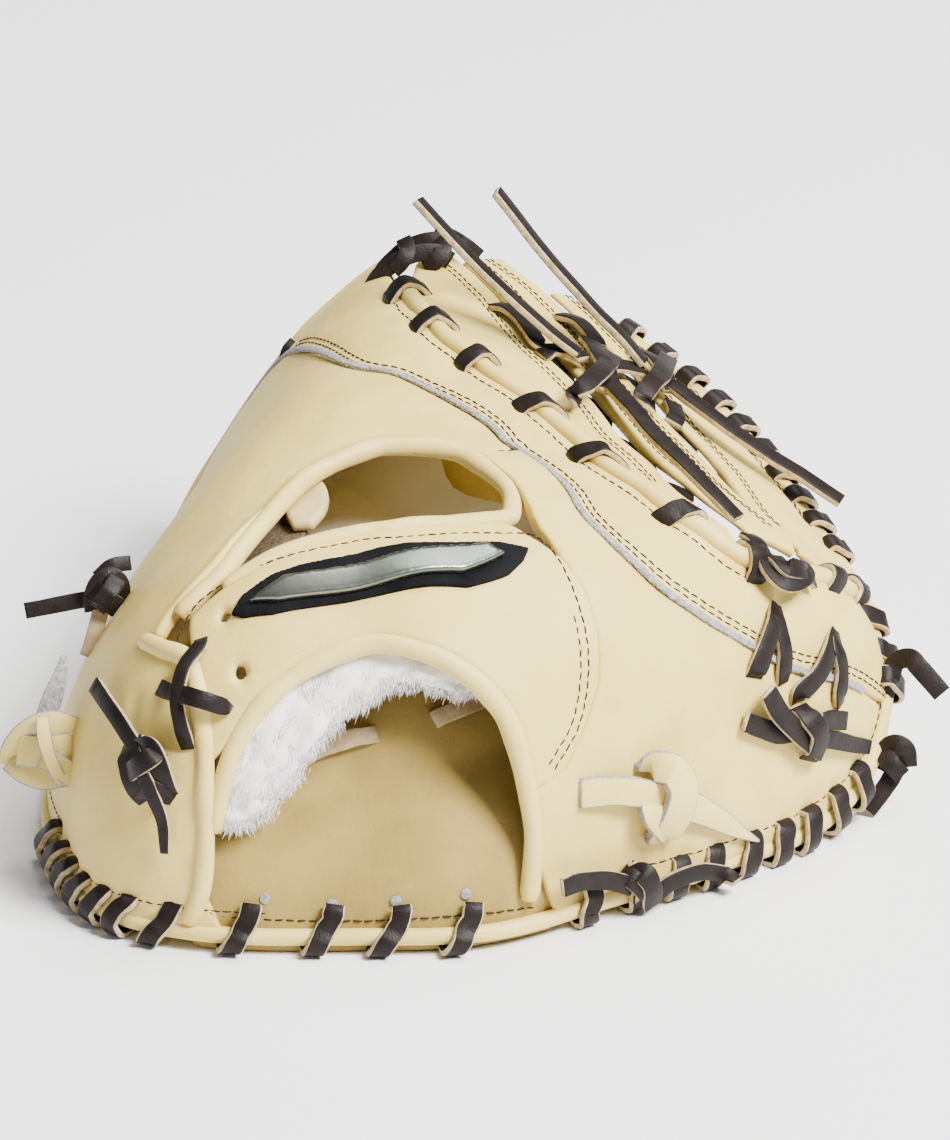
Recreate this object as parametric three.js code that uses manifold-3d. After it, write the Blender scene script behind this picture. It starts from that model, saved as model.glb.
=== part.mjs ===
// First baseman mitt for the left hand, lying pocket down. Millimetres, +Z up, heel at low Y, thumb at +X.
import * as THREE from "three";
import { mergeVertices } from "three/addons/utils/BufferGeometryUtils.js";
import Module from "manifold-3d";

const wasm = await Module();
wasm.setup();

// Driving sizes
const width = 255; // across the mitt, from the pinky side to the thumb side
const depth = 262; // from the heel edge to the fingertips
const height = 119; // from the table to the crown of the back
const gap = 0.3; // between pieces that touch
const backLeather = 3; // a back panel with its lining leather
const webLeather = 2.6; // a web band
const padThickness = 9; // padded palm
const linerThickness = 1.5; // hand side of the palm
const edgeRoll = 5.2; // rolled binding round the rim of the mitt
const strapRoll = 6.4; // rolled edge of the strap and of the wrist opening
const heelRoll = 6; // vertical roll of the pinky heel panel
const openingRoll = 6; // rolled rim of the oval opening
const weltRoll = 5.4; // pale welt under the near lace row
const seamWidth = 2.6; // raw leather edge along the arc seam
const seamHeight = 1.4;
const laceWidth = 6.3;
const laceThickness = 2;
const creamStrapWidth = 12;
const creamStrapThickness = 2.6;
const fleeceThickness = 5;
const feltThickness = 1.3;
const plateThickness = 3;
const tabThickness = 3;
const tailWidth = 6;
const tailThickness = 2.4;

// Grain of the facets, in shares of the width
const panelCell = width / 17;
const padCell = width / 14;
const badgeCell = panelCell / 2;

// The rim of the mitt where it meets the table, a ring of stations: x, y and z in percent of width, depth and
// height, how far along the ridge the section climbs to (0 to 1), and how full that section is.
const stations = [
  { x: -14.9, y: -1.5, z: 0, ridge: 0, full: 2.3 }, // middle of the heel
  { x: 2, y: -0.4, z: 0, ridge: 0, full: 2.5 },
  { x: 17.6, y: 9.2, z: 0, ridge: 0, full: 2.6 },
  { x: 29.4, y: 17.2, z: 0, ridge: 0.02, full: 2.7 },
  { x: 40.4, y: 26.7, z: 0, ridge: 0.06, full: 2.7 },
  { x: 47.5, y: 36.6, z: 6.7, ridge: 0.14, full: 2.6 }, // thumb side
  { x: 49.8, y: 45, z: 25.2, ridge: 0.27, full: 2 },
  { x: 47.5, y: 53.4, z: 42.9, ridge: 0.42, full: 1.25 }, // thumb end of the web
  { x: 40.4, y: 67.6, z: 55.5, ridge: 0.6, full: 0.9 },
  { x: 29.8, y: 81.3, z: 71.4, ridge: 0.8, full: 0.8 },
  { x: 13.7, y: 92.7, z: 87.4, ridge: 0.95, full: 1 },
  { x: -3.1, y: 98.5, z: 97.5, ridge: 1, full: 1 }, // fingertip end of the web
  { x: -18.8, y: 97.7, z: 73.9, ridge: 1, full: 1 },
  { x: -32.2, y: 88.5, z: 39.5, ridge: 0.9, full: 1 },
  { x: -42.7, y: 73.3, z: 6.7, ridge: 0.7, full: 1.1 },
  { x: -48.2, y: 55.3, z: 0, ridge: 0.45, full: 1.45 },
  { x: -50.2, y: 36.3, z: 0, ridge: 0.22, full: 1.9 }, // pinky side
  { x: -48.6, y: 18.3, z: 0, ridge: 0.04, full: 2.2 },
  { x: -43.1, y: 5.7, z: 0, ridge: 0, full: 2.3 },
  { x: -32.2, y: -0.4, z: 0, ridge: 0, full: 2.3 }, // pinky corner of the heel
];
// The ridge of the back, from above the wrist to the fingertips, in the same percents.
const ridgeLine = [
  { x: -11.8, y: 29.8, z: 92.4 },
  { x: -9.4, y: 49.6, z: 97.5 },
  { x: -7.1, y: 70.6, z: 100 },
  { x: -5.5, y: 89.7, z: 100 },
];

// Lines on the back, as [u, v] pairs: a flat chart of it in percent of width and depth.
const seamLine = [
  [-28.6, 92.3], [-25, 90.3], [-21.6, 84], [-14, 65], [-8.3, 59.3], [-3.4, 53.8], [-1.2, 49.4], [-0.7, 43.4],
  [0.6, 32.5], [7.3, 27.5], [14.5, 26.5], [22.6, 27.8], [28.7, 30.1], [39.2, 36.6], [50.5, 43.6],
];
const rowLine = [
  [-9, 86.5], [-7.7, 81.9], [-5.3, 75.7], [-3, 70.2], [-0.1, 66.3], [2.5, 61.6], [5.5, 57], [6.8, 51.8],
  [6.7, 47.8], [6.1, 43.1], [7.1, 39.5], [8.7, 36.4], [11.5, 35.2], [14.4, 34.2], [17.2, 34.3], [19.6, 35.7],
  [22.5, 36.7], [30.3, 42.4], [40, 48.5], [48.6, 50.8],
];
const nearBandFar = [
  [-4.6, 98], [-2.1, 91.6], [1.3, 85.8], [4.7, 80.6], [9.2, 71.2], [12.2, 65.3], [14.3, 58.4], [13.6, 50.9],
  [11.2, 43], [12.2, 39.2], [14.6, 37.6], [17.8, 37.4],
];
const middleBandNear = [
  [-2.6, 96.2], [-0.4, 91.8], [6.1, 82.3], [11.1, 74.8], [14.4, 68.8], [16.6, 62.3], [17.6, 55.3], [16.4, 48],
  [16.2, 43.5], [18.6, 40],
];
const middleBandFar = [
  [3.4, 95.6], [8.5, 88.9], [14.5, 81.3], [20, 72.5], [24.2, 64], [26.6, 57.9], [27, 52], [25.4, 46.2], [24, 41.2],
];
const farBandNear = [
  [10.4, 90.4], [16, 83.5], [21.8, 75.8], [26.4, 67.4], [29.2, 61.5], [29.9, 55], [28.6, 49.2], [26.6, 43.4],
];
const ovalTop = [
  [-28.1, 20.8], [-26.5, 22.3], [-24.4, 23.6], [-21.7, 25.9], [-19.4, 31.3], [-16.9, 38.1], [-14.1, 41.3],
  [-11.3, 43.3], [-9.2, 43.9], [-7.1, 43.9], [-5.7, 42.9], [-5, 40.4], [-4.6, 36.4], [-3.9, 32.9], [-3, 30],
];
const ovalBottom = [
  [-4.7, 29.7], [-7.8, 29.1], [-10.4, 28.1], [-13, 26.8], [-16.3, 25.6], [-19.3, 24.2], [-22.3, 22.8],
  [-25.6, 21.2],
];
const strapThumbEnd = [
  [-2.2, 29.5], [0.7, 26.3], [3.9, 23.4], [6.1, 20.7], [7.4, 18.1], [7.6, 15.3], [7.2, 13.1], [6.6, 11.1],
  [4.5, 8.8],
];
const wristArch = [
  [-27.3, 5.1], [-25.3, 7.9], [-23.3, 10.3], [-20.6, 12.7], [-17.4, 14.7], [-14.1, 16.1], [-11.1, 16.8],
  [-7.3, 16], [-4.4, 14.9], [-2.1, 13.8], [-0.1, 12.6], [1.8, 10.7], [3.7, 8.6], [5.4, 6.7], [6.1, 5],
  [6.6, 3.4], [7.2, 2.3],
];
const heelPanelEdge = [
  [-32.3, 0.9], [-29.7, 2.5], [-27.7, 5.8], [-26.5, 9.4], [-25.8, 13.6], [-26.2, 17], [-28.3, 19.4],
  [-30.2, 22.3],
];

// Section of the back from its foot (m = 0) to the ridge (m = 1): shares gone across and up.
function section(m, full) {
  const power = 2 / Math.max(full, 2);
  const round = Math.min(Math.max(full - 1, -1), 1);
  const angle = (Math.min(Math.max(m, 0), 1) * Math.PI) / 2;
  const across = round * (1 - Math.cos(angle) ** power) + (1 - round) * m;
  const up = round * Math.sin(angle) ** power + (1 - round) * (1 - (1 - m) ** 2);
  return { across: m < 0 ? m : across, up: m < 0 ? 0 : up };
}

function spline(p0, p1, p2, p3, f) {
  return 0.5 * (2 * p1 + (p2 - p0) * f + (2 * p0 - 5 * p1 + 4 * p2 - p3) * f * f +
    (3 * p1 - p0 - 3 * p2 + p3) * f * f * f);
}

function station(t) {
  const n = stations.length;
  const i = Math.floor(t);
  const rows = [-1, 0, 1, 2].map((k) => stations[(((i + k) % n) + n) % n]);
  const at = (key) => spline(...rows.map((row) => row[key]), t - i);
  return { x: at("x"), y: at("y"), z: at("z"), ridge: at("ridge"), full: at("full") };
}

function ridgeAt(share) {
  const last = ridgeLine.length - 1;
  const k = Math.min(Math.max(share, 0), 1) * last;
  const i = Math.min(Math.floor(k), last - 1);
  const rows = [-1, 0, 1, 2].map((j) => ridgeLine[Math.min(Math.max(i + j, 0), last)]);
  const at = (key) => spline(...rows.map((row) => row[key]), k - i);
  return { x: at("x"), y: at("y"), z: at("z") };
}

function toChart(t, m) {
  const foot = station(t);
  const top = ridgeAt(foot.ridge);
  return [foot.x + (top.x - foot.x) * m, foot.y + (top.y - foot.y) * m];
}

const sectors = Array.from({ length: stations.length * 36 + 1 }, (_, i) => {
  const t = i / 36;
  const foot = station(t);
  const top = ridgeAt(foot.ridge);
  return { t, fx: foot.x, fy: foot.y, dx: top.x - foot.x, dy: top.y - foot.y };
});

// The station and height share of a chart point.
function locate(u, v) {
  let best = { t: 0, m: -9 };
  let before = null;
  for (const s of sectors) {
    const side = (u - s.fx) * s.dy - (v - s.fy) * s.dx;
    const m = ((u - s.fx) * s.dx + (v - s.fy) * s.dy) / (s.dx * s.dx + s.dy * s.dy);
    if (before && side * before.side <= 0 && side !== before.side) {
      const f = before.side / (before.side - side);
      const mHere = before.m + (m - before.m) * f;
      if (mHere <= 1.0005 && mHere > best.m) best = { t: before.t + (s.t - before.t) * f, m: mHere };
    }
    before = { side, m, t: s.t };
  }
  return best;
}

function onSection(t, m) {
  const foot = station(t);
  const top = ridgeAt(foot.ridge);
  const { across, up } = section(m, foot.full);
  return new THREE.Vector3(
    ((foot.x + (top.x - foot.x) * across) * width) / 100,
    ((foot.y + (top.y - foot.y) * across) * depth) / 100,
    ((foot.z + (top.z - foot.z) * up) * height) / 100,
  );
}

function smooth(x) {
  const c = Math.min(Math.max(x, 0), 1);
  return c * c * (3 - 2 * c);
}

// How far, in percent of the width, a chart point lies from the near lace row.
function rowDistance(u, v) {
  let best = 1e9;
  for (let i = 0; i + 1 < rowLine.length; i++) {
    const [ax, ay] = rowLine[i];
    const bx = rowLine[i + 1][0] - ax;
    const by = rowLine[i + 1][1] - ay;
    const f = Math.min(Math.max(((u - ax) * bx + (v - ay) * by) / (bx * bx + by * by), 0), 1);
    best = Math.min(best, Math.hypot(u - ax - f * bx, v - ay - f * by));
  }
  return best;
}

// The hand side of the palm sinks from the back towards the table: room for the hand in between.
const palmEdgeShare = 0.072;
const palmDepthShare = 0.25;
const coreHeight = -height / 10;
const back = (u, v) => {
  const { t, m } = locate(u, v);
  return onSection(t, m);
};
const palm = (u, v) => {
  const { t, m } = locate(u, v);
  const p = onSection(t, m);
  const top = ridgeAt(station(t).ridge);
  const core = new THREE.Vector3((top.x * width) / 100, (top.y * depth) / 100, coreHeight);
  const room = smooth(m / 0.42) * Math.min(1, 0.25 + smooth(rowDistance(u, v) / 21.5));
  return p.lerp(core, palmEdgeShare + palmDepthShare * room);
};

// Point, outward normal and chart directions of a surface at a chart point.
function frameOn(surface, u, v) {
  const step = 0.25;
  const pu = surface(u + step, v).sub(surface(u - step, v)).divideScalar(2 * step);
  const pv = surface(u, v + step).sub(surface(u, v - step)).divideScalar(2 * step);
  return { point: surface(u, v), pu, pv, normal: pu.clone().cross(pv).normalize() };
}

// The chart step that goes a wanted way on a surface.
function chartStep({ pu, pv }, want) {
  const uu = pu.dot(pu);
  const uv = pu.dot(pv);
  const vv = pv.dot(pv);
  const a = want.dot(pu);
  const b = want.dot(pv);
  const det = uu * vv - uv * uv;
  return [(a * vv - b * uv) / det, (b * uu - a * uv) / det];
}

function lift(surface, u, v, off) {
  const f = frameOn(surface, u, v);
  return f.point.addScaledVector(f.normal, off);
}

// Solids
function solidOf(geometry) {
  geometry.deleteAttribute("normal");
  geometry.deleteAttribute("uv");
  const merged = mergeVertices(geometry.index ? geometry : geometry.clone(), 1e-4);
  return new wasm.Manifold(new wasm.Mesh({
    numProp: 3,
    vertProperties: merged.attributes.position.array,
    triVerts: new Uint32Array(merged.index.array),
  }));
}

function fromArrays(positions, triangles) {
  let volume = 0;
  const a = new THREE.Vector3();
  const b = new THREE.Vector3();
  const c = new THREE.Vector3();
  for (let i = 0; i < triangles.length; i += 3) {
    a.fromArray(positions, triangles[i] * 3);
    b.fromArray(positions, triangles[i + 1] * 3);
    c.fromArray(positions, triangles[i + 2] * 3);
    volume += a.dot(b.cross(c));
  }
  const facing = volume < 0 ? triangles.map((_, i) => triangles[i % 3 ? (i % 3 === 1 ? i + 1 : i - 1) : i]) : triangles;
  const geometry = new THREE.BufferGeometry();
  geometry.setAttribute("position", new THREE.BufferAttribute(new Float32Array(positions), 3));
  geometry.setIndex(facing);
  return solidOf(geometry);
}

// A sheet over the chart: its outline, given in percents, cut from a fine grid and laid on a surface.
function sheet({ outline, surface, from, to, cell = panelCell }) {
  const points = outline.map(([u, v]) => new THREE.Vector2((u * width) / 100, (v * depth) / 100));
  const box = new THREE.Box2().setFromPoints(points).expandByScalar(1);
  const low = box.min.clone().divideScalar(cell).floor();
  const cells = box.max.clone().divideScalar(cell).ceil().sub(low);
  const grid = new THREE.BoxGeometry(cells.x * cell, cells.y * cell, 1, cells.x, cells.y, 1);
  grid.translate((low.x + cells.x / 2) * cell, (low.y + cells.y / 2) * cell, 0.5);
  const prism = new THREE.ExtrudeGeometry(new THREE.Shape(points), { depth: 3, bevelEnabled: false });
  prism.translate(0, 0, -1);
  const flat = solidOf(grid).intersect(solidOf(prism)).getMesh();
  const positions = [];
  for (let i = 0; i < flat.numVert; i++) {
    const [x, y, z] = flat.vertProperties.subarray(i * flat.numProp, i * flat.numProp + 3);
    positions.push(...lift(surface, (x * 100) / width, (y * 100) / depth, from + (to - from) * z).toArray());
  }
  return fromArrays(positions, Array.from(flat.triVerts));
}

// A section swept through points; "sides" gives the direction of the section's width at each point.
function sweep({ path, sides, shape, grow = 0 }) {
  const points = path.map((p) => p.clone());
  const last = points.length - 1;
  const ends = [[0, 1], [last, last - 1]];
  for (const [end, next] of ends) {
    points[end].addScaledVector(points[end].clone().sub(points[next]).normalize(), grow);
  }
  const positions = [];
  const triangles = [];
  const count = shape.length;
  for (let i = 0; i <= last; i++) {
    const into = points[i].clone().sub(points[Math.max(i - 1, 0)]).normalize();
    const out = points[Math.min(i + 1, last)].clone().sub(points[i]).normalize();
    const along = into.clone().add(out).normalize();
    const bend = i === 0 || i === last ? 1 : Math.max(along.dot(out), 0.6);
    const side = sides[i];
    const up = along.clone().cross(side).normalize();
    for (const [x, y] of shape) {
      positions.push(...points[i].clone().addScaledVector(side, x).addScaledVector(up, y / bend).toArray());
    }
  }
  for (let i = 0; i < last; i++) {
    for (let j = 0; j < count; j++) {
      const a = i * count + j;
      const b = i * count + ((j + 1) % count);
      triangles.push(a, b, b + count, a, b + count, a + count);
    }
  }
  for (let j = 1; j + 1 < count; j++) {
    triangles.push(0, j + 1, j);
    triangles.push(last * count, last * count + j, last * count + j + 1);
  }
  return fromArrays(positions, triangles);
}

const flatShape = (w, h) => (grow) => {
  const x = w / 2 + grow;
  const y = h / 2 + grow;
  return [[-x, -y], [x, -y], [x, y], [-x, y]];
};
const roundShape = (w, h, sides) => (grow) =>
  Array.from({ length: sides }, (_, i) => {
    const angle = ((i + 0.5) / sides) * 2 * Math.PI;
    return [Math.cos(angle) * (w / 2 + grow), Math.sin(angle) * (h / 2 + grow)];
  });
const laceShape = flatShape(laceWidth, laceThickness);

// A swept piece and the room that its neighbours leave for it.
function strand({ path, sides, shape }) {
  return {
    solid: sweep({ path, sides, shape: shape(0) }),
    room: sweep({ path, sides, shape: shape(1.4 * gap), grow: 1.4 * gap }),
  };
}
const fuse = (parts) => ({
  solid: parts.map((p) => p.solid).reduce((a, b) => a.add(b)),
  room: parts.map((p) => p.room).reduce((a, b) => a.add(b)),
});

// Evenly spread points on a curve through chart points.
function curve(line, closed = false) {
  return new THREE.CatmullRomCurve3(line.map(([u, v]) => new THREE.Vector3(u, v, 0)), closed, "centripetal");
}
const spread = (line, count) => curve(line).getSpacedPoints(count - 1).map((p) => [p.x, p.y]);

// The line a given way aside of a chart line, in millimetres to the left of its run.
function aside(line, millimetres) {
  return line.map(([u, v], i) => {
    const [pu, pv] = line[Math.max(i - 1, 0)];
    const [nu, nv] = line[Math.min(i + 1, line.length - 1)];
    const f = frameOn(back, u, v);
    const ahead = f.pu.clone().multiplyScalar(nu - pu).addScaledVector(f.pv, nv - pv).normalize();
    const [du, dv] = chartStep(f, f.normal.clone().cross(ahead).multiplyScalar(millimetres));
    return [u + du, v + dv];
  });
}

// A roll along a chart line, at an offset from the back.
function roll({ line, count, off, shape, surface = back }) {
  const path = [];
  const sides = [];
  const chart = spread(line, count);
  for (const [u, v] of chart) path.push(lift(surface, u, v, off));
  chart.forEach(([u, v], i) => {
    const ahead = path[Math.min(i + 1, count - 1)].clone().sub(path[Math.max(i - 1, 0)]);
    sides.push(ahead.cross(frameOn(surface, u, v).normal).normalize());
  });
  return strand({ path, sides, shape });
}

// A place on a row: origin, along the row, across it and outwards.
function rowPlace(line, share) {
  const path = curve(line);
  const c = path.getPointAt(share);
  const before = path.getPointAt(Math.max(share - 0.01, 0));
  const after = path.getPointAt(Math.min(share + 0.01, 1));
  const along = back(after.x, after.y).sub(back(before.x, before.y)).normalize();
  const { point, normal } = frameOn(back, c.x, c.y);
  return { point, along, across: normal.clone().cross(along).normalize(), normal };
}

// A place on the rim of the mitt: across goes up the wall from its foot.
function rimPlace(t) {
  const point = onSection(t, 0);
  const along = onSection(t + 0.05, 0).sub(onSection(t - 0.05, 0)).normalize();
  const wall = onSection(t, 0.03).sub(point).normalize();
  const across = wall.addScaledVector(along, -wall.dot(along)).normalize();
  return { point, along, across, normal: along.clone().cross(across).normalize() };
}

// A lace that repeats one stitch at each place of a row: steps of [across, off, along] in millimetres. Its width
// lies along the row or across it.
const lowest = laceThickness / 2 + gap;
function lacing(places, steps, lies = "along") {
  const path = [];
  const sides = [];
  for (const place of places) {
    for (const [across, off, along] of steps) {
      const p = place.point.clone().addScaledVector(place.across, across)
        .addScaledVector(place.normal, off).addScaledVector(place.along, along);
      p.z = Math.max(p.z, lowest);
      path.push(p);
      sides.push(place[lies]);
    }
  }
  return strand({ path, sides, shape: laceShape });
}

// A point near an anchor on the back: x to the right, y up the surface, off it, in millimetres.
function beside([u, v], [x, y, off]) {
  const f = frameOn(back, u, v);
  const right = new THREE.Vector3(1, 0, 0);
  right.addScaledVector(f.normal, -right.dot(f.normal)).normalize();
  const upward = f.normal.clone().cross(right);
  const want = right.multiplyScalar(x).addScaledVector(upward, y);
  const [du, dv] = chartStep(f, want);
  const target = frameOn(back, u + du, v + dv);
  return { point: target.point.clone().addScaledVector(target.normal, off), normal: target.normal };
}

// Flat strips over the back from lists of points beside an anchor.
function strips(anchor, lists, shape = laceShape) {
  return fuse(lists.map((list) => {
    const spots = list.map(([x, y, off]) => beside(anchor, [x, y, off + gap / 2]));
    const path = spots.map((s) => s.point);
    const sides = spots.map((s, i) => {
      const ahead = path[Math.min(i + 1, path.length - 1)].clone().sub(path[Math.max(i - 1, 0)]);
      return ahead.cross(s.normal).normalize();
    });
    for (const p of path) p.z = Math.max(p.z, lowest);
    return strand({ path, sides, shape });
  }));
}

// Outlines
const rimRun = (from, to, m) => {
  const count = Math.ceil(Math.abs(to - from) * 2) + 1;
  return Array.from({ length: count }, (_, i) => toChart(from + ((to - from) * i) / (count - 1), m));
};
// The rim again, but so many millimetres up the wall from its foot
const footRun = (from, to, reach) => {
  const count = Math.ceil(Math.abs(to - from) * 2) + 1;
  return Array.from({ length: count }, (_, i) => {
    const t = from + ((to - from) * i) / (count - 1);
    const foot = onSection(t, 0);
    let m = 0;
    while (onSection(t, m).distanceTo(foot) < reach) m += 0.001;
    return toChart(t, m);
  });
};
const rollUp = laceThickness + 3.5 * gap + edgeRoll / 2; // centre of the edge binding above the foot
const panelFoot = rollUp + edgeRoll / 2 + 3 * gap;
const bandFoot = 1;
const reversed = (line) => [...line].reverse();
const shiftLine = (line, du, dv) => line.map(([u, v]) => [u + du, v + dv]);
const between = (line, from, to) => line.slice(from, to);

const clear = (rollSize) => rollSize / 2 + 2.6 * gap;
const archEdge = aside(wristArch, clear(strapRoll));
const heelEdge = aside(heelPanelEdge, clear(heelRoll));
const heelEdgeInside = aside(heelPanelEdge, -clear(heelRoll));
const topEdge = aside(ovalTop, clear(openingRoll));
const bottomEdge = aside(ovalBottom, clear(openingRoll));
const thumbEndEdge = aside(strapThumbEnd, gap);
const seamEdge = aside(seamLine, gap);
const seamEdgeLow = aside(seamLine, -gap);
const rowEdge = aside(rowLine, clear(weltRoll));
const rowEdgeInside = aside(rowLine, -clear(weltRoll));

const fingerPanelOutline = [
  ...between(seamEdgeLow, 2, 8),
  [-2.4, 42.8],
  ...reversed(between(topEdge, 0, 11)).filter(([u]) => u < -3.6),
  ...reversed(between(heelEdge, 1, 8)),
  ...footRun(19.2, 12.75, panelFoot),
];
const thumbPanelOutline = [
  ...aside(between(seamLine, 7, 14), -5 * gap),
  ...footRun(5.8, 1.5, panelFoot),
  ...reversed(between(archEdge, 13, 15)),
  ...reversed(between(thumbEndEdge, 0, 8)),
  ...reversed(between(topEdge, 11, 15)),
];
const upperPanelOutline = [
  ...between(seamEdge, 2, 14),
  ...footRun(5.85, 6.7, panelFoot),
  ...reversed(between(rowEdgeInside, 0, 19)),
  ...footRun(11.5, 12.65, panelFoot),
];
const strapOutline = [
  ...between(archEdge, 2, 13),
  ...reversed(between(aside(strapThumbEnd, -gap), 1, 8)),
  ...bottomEdge,
  ...reversed(between(heelEdgeInside, 3, 6)),
];
const nearBandOutline = [
  ...between(rowEdge, 1, 15),
  ...reversed(nearBandFar).slice(0, -1),
  [-4.4, 94.6],
  [-6.4, 90.5],
];
const middleBandOutline = [...middleBandNear.slice(1), ...reversed(middleBandFar)];
const farBandOutline = [
  ...farBandNear,
  [30.4, 44.6],
  [38.6, 50],
  [44, 53.4],
  ...footRun(7.2, 9.9, bandFoot),
];
const palmOutline = [
  ...rimRun(7, -8.6, 0),
  ...shiftLine(between(rowLine, 1, 18), 1.2, 0.6),
];
const linerOutline = [
  ...rimRun(21.3, 18.8, 0.07),
  toChart(17.6, 0.24), toChart(16, 0.3), toChart(14.8, 0.4), [-15, 70], [-4, 62], [0, 46], [8, 34],
  toChart(4.6, 0.3), toChart(3, 0.26), toChart(2, 0.16),
];
const fleeceOutline = [
  [-27.4, 5.6], [-25.6, 9.6], [-21.8, 14.2], [-17.4, 16.6], [-11, 18.2], [-4.8, 16.8], [-2, 15.2],
  [-2.6, 12.6], [-4.4, 11.6], [-6.4, 12.9], [-8.3, 11.9], [-10, 13.2], [-12.2, 12.2], [-14, 12.7],
  [-15.3, 11], [-17.2, 11.2], [-18, 9.6], [-20, 9.3], [-20.6, 7.6], [-22.4, 7.2], [-23.4, 5.6],
];
const feltOutline = [[-21.8, 19.4], [-18.4, 22.3], [-4.4, 26.4], [-2.2, 25.2], [-5.4, 21.7], [-18.8, 18.9]];
const plateOutline = [[-20.2, 19.9], [-17.6, 21.6], [-5, 25.5], [-3.6, 24.9], [-6, 22.6], [-18.2, 19.7]];
const loopTabOutline = [[-20.8, 30.6], [-18.8, 35.4], [-15.4, 39.8], [-13.4, 37.2], [-15, 33.2], [-17.4, 29.8]];
const meshOutline = [[-22.6, 22.6], [-23.4, 26.4], [-20.8, 31.6], [-17.6, 33.8], [-14.2, 30.6], [-15, 25.6]];

// Pieces: everything that is laced or rolled first, then the sheets that make room for it.
const pieces = new Map();
const put = (name, material, piece) => pieces.set(name, { material, ...piece });

const over = laceThickness / 2 + 2.2 * gap;
const underBack = -backLeather - over;
const underWeb = -webLeather - over;
const rowStep = 6;
const overWelt = weltRoll - 1.4 + over;
const rowShares = [0.055, 0.15, 0.25, 0.36, 0.46, 0.56, 0.645];
put("near_row_lace", "lace", lacing(rowShares.map((s) => rowPlace(rowLine, s)), [
  [-rowStep, underBack, 0], [-rowStep, over, 0], [0, overWelt, 0], [rowStep, over, 0], [rowStep, underBack, 0],
]));
const rimHole = 8;
const rimStations = [9.64, 9.4, 9.17, 8.94, 8.7, 8.47, 8.24, 8, 7.74, 7.46];
put("rim_lace", "lace", lacing(rimStations.map(rimPlace), [
  [rimHole, underWeb, 0], [rimHole, over, 0], [-over, over, 0], [-over, underWeb, 0],
]));
const valleyStep = 5;
const zigzag = (line, shares) => lacing(shares.map((s) => rowPlace(line, s)), [
  [-valleyStep, underWeb, -4], [valleyStep, underWeb, 4],
], "across");
const middle = (a, b) => spread(a, 12).map(([u, v], i) => {
  const [p, q] = spread(b, 12)[i];
  return [(u + p) / 2, (v + q) / 2];
});
const nearValley = middle(nearBandFar, middleBandNear);
const farValley = middle(middleBandFar, farBandNear);
put("valley_lace_near", "lace", zigzag(nearValley, [0.3, 0.44, 0.58, 0.72, 0.86]));
put("valley_lace_far", "lace", zigzag(farValley, [0.24, 0.4, 0.56, 0.72, 0.88]));

// Round the rim: through the back panel, over the binding, under it and back up inside.
const holeUp = 13;
const bindingOut = edgeRoll / 2 + over;
const bindingIn = -0.6;
const wrap = (lean) => [
  [holeUp, bindingIn - bindingOut, lean], [holeUp, over, lean], [rollUp + 1.6, bindingOut, 0],
  [lowest, bindingOut - 1, 0], [lowest, bindingIn - bindingOut, 0],
];
const coilOut = bindingOut + 1;
const coil = [[60, 5], [0, 3.5], [-62, 1.5], [-118, 0], [180, 1.5], [120, 3.5]].map(([degrees, along]) => {
  const angle = (degrees * Math.PI) / 180;
  return [rollUp + coilOut * Math.sin(angle), bindingIn + coilOut * Math.cos(angle), along];
});
put("heel_lace", "lace", lacing([19.3, 19.84, 20.3, 20.8].map(rimPlace), coil));
put("thumb_edge_lace", "lace",
  lacing([21.7, 22.1, 22.5, 22.87, 23.25, 23.57, 23.9, 24.33, 24.75].map(rimPlace), wrap(3)));
put("pinky_edge_lace", "lace", lacing([16.7, 17, 17.3, 17.6, 17.9, 18.2, 18.62].map(rimPlace), wrap(4)));
put("finger_edge_lace", "lace", lacing([12.75, 13.2, 13.65, 14.1, 14.55, 15, 15.5, 16.1].map(rimPlace), wrap(0)));
put("thumb_tip_lace", "lace", lacing([5.95, 6.3, 6.65].map(rimPlace), wrap(2)));
put("tip_lace", "lace", lacing([11.5, 11.8, 12.1, 12.4].map(rimPlace), wrap(0)));

// Knots: a core, a wrap over it and short ends, as [x, y, off] beside an anchor.
const knot = (anchor, rise, first, second) => strips(anchor, [
  [...first, [0, 0, rise + 1.6], [8, 2, rise + 1]],
  [[-4, -7, rise + 0.6], [-1.6, -2.5, rise + 4], [1.6, 2.5, rise + 4], [4, 7, rise + 0.6]],
  [...second, [0, 0, rise + 1.4]],
]);
put("web_knot_left", "lace", knot([15.6, 69.9], 1.1, [[-14, 9, 1.2], [-7, 4, 3]], [[-9, -5, 1.2]]));
put("web_knot_right", "lace", knot([23.5, 75.1], 1.1, [[-13, 4, 1.2], [-7, 3, 3]], [[6, -10, 1.2]]));
put("row_end_knot", "lace", strips([22.4, 37.2], [
  [[-7, 1, 1.3], [-5, -4, 3.4], [0, -6, 5], [5, -3, 5.6], [6, 2, 4.8], [1, 4, 3.6], [-6, 5, 1.6]],
]));
put("thumb_tie_upper", "lace", strips([23, 28.6], [
  [[-3, -7, 1.3], [-2.4, -1, 2.4], [0.5, 5, 2.6], [2.5, 8, 1.3]],
  [[-3, -7, 1.3], [1, -3, 2.6], [5.4, 4, 1.3]],
]));
put("thumb_tie_lower", "lace", strips([31.2, 31.6], [
  [[-5, -6, 1.3], [-1, -3, 2.4], [2, 3, 2.6], [2.6, 10, 1.3]],
  [[-5, -6, 1.3], [0, -5, 2.6], [4.8, 3, 1.3]],
]));
put("thumb_knot", "lace", knot([32, 27.8], 0.6, [[-16, 1, 1.3], [-8, 1, 2.6]], [[19, -4, 1.5], [12, -2, 2.6]]));
put("edge_knot", "lace", knot([20.2, 12.2], 3.4, [[-23, 1, 2.4], [-14, 3, 3]], [[26, 3, 2.6], [13, 3, 3.4]]));
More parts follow.
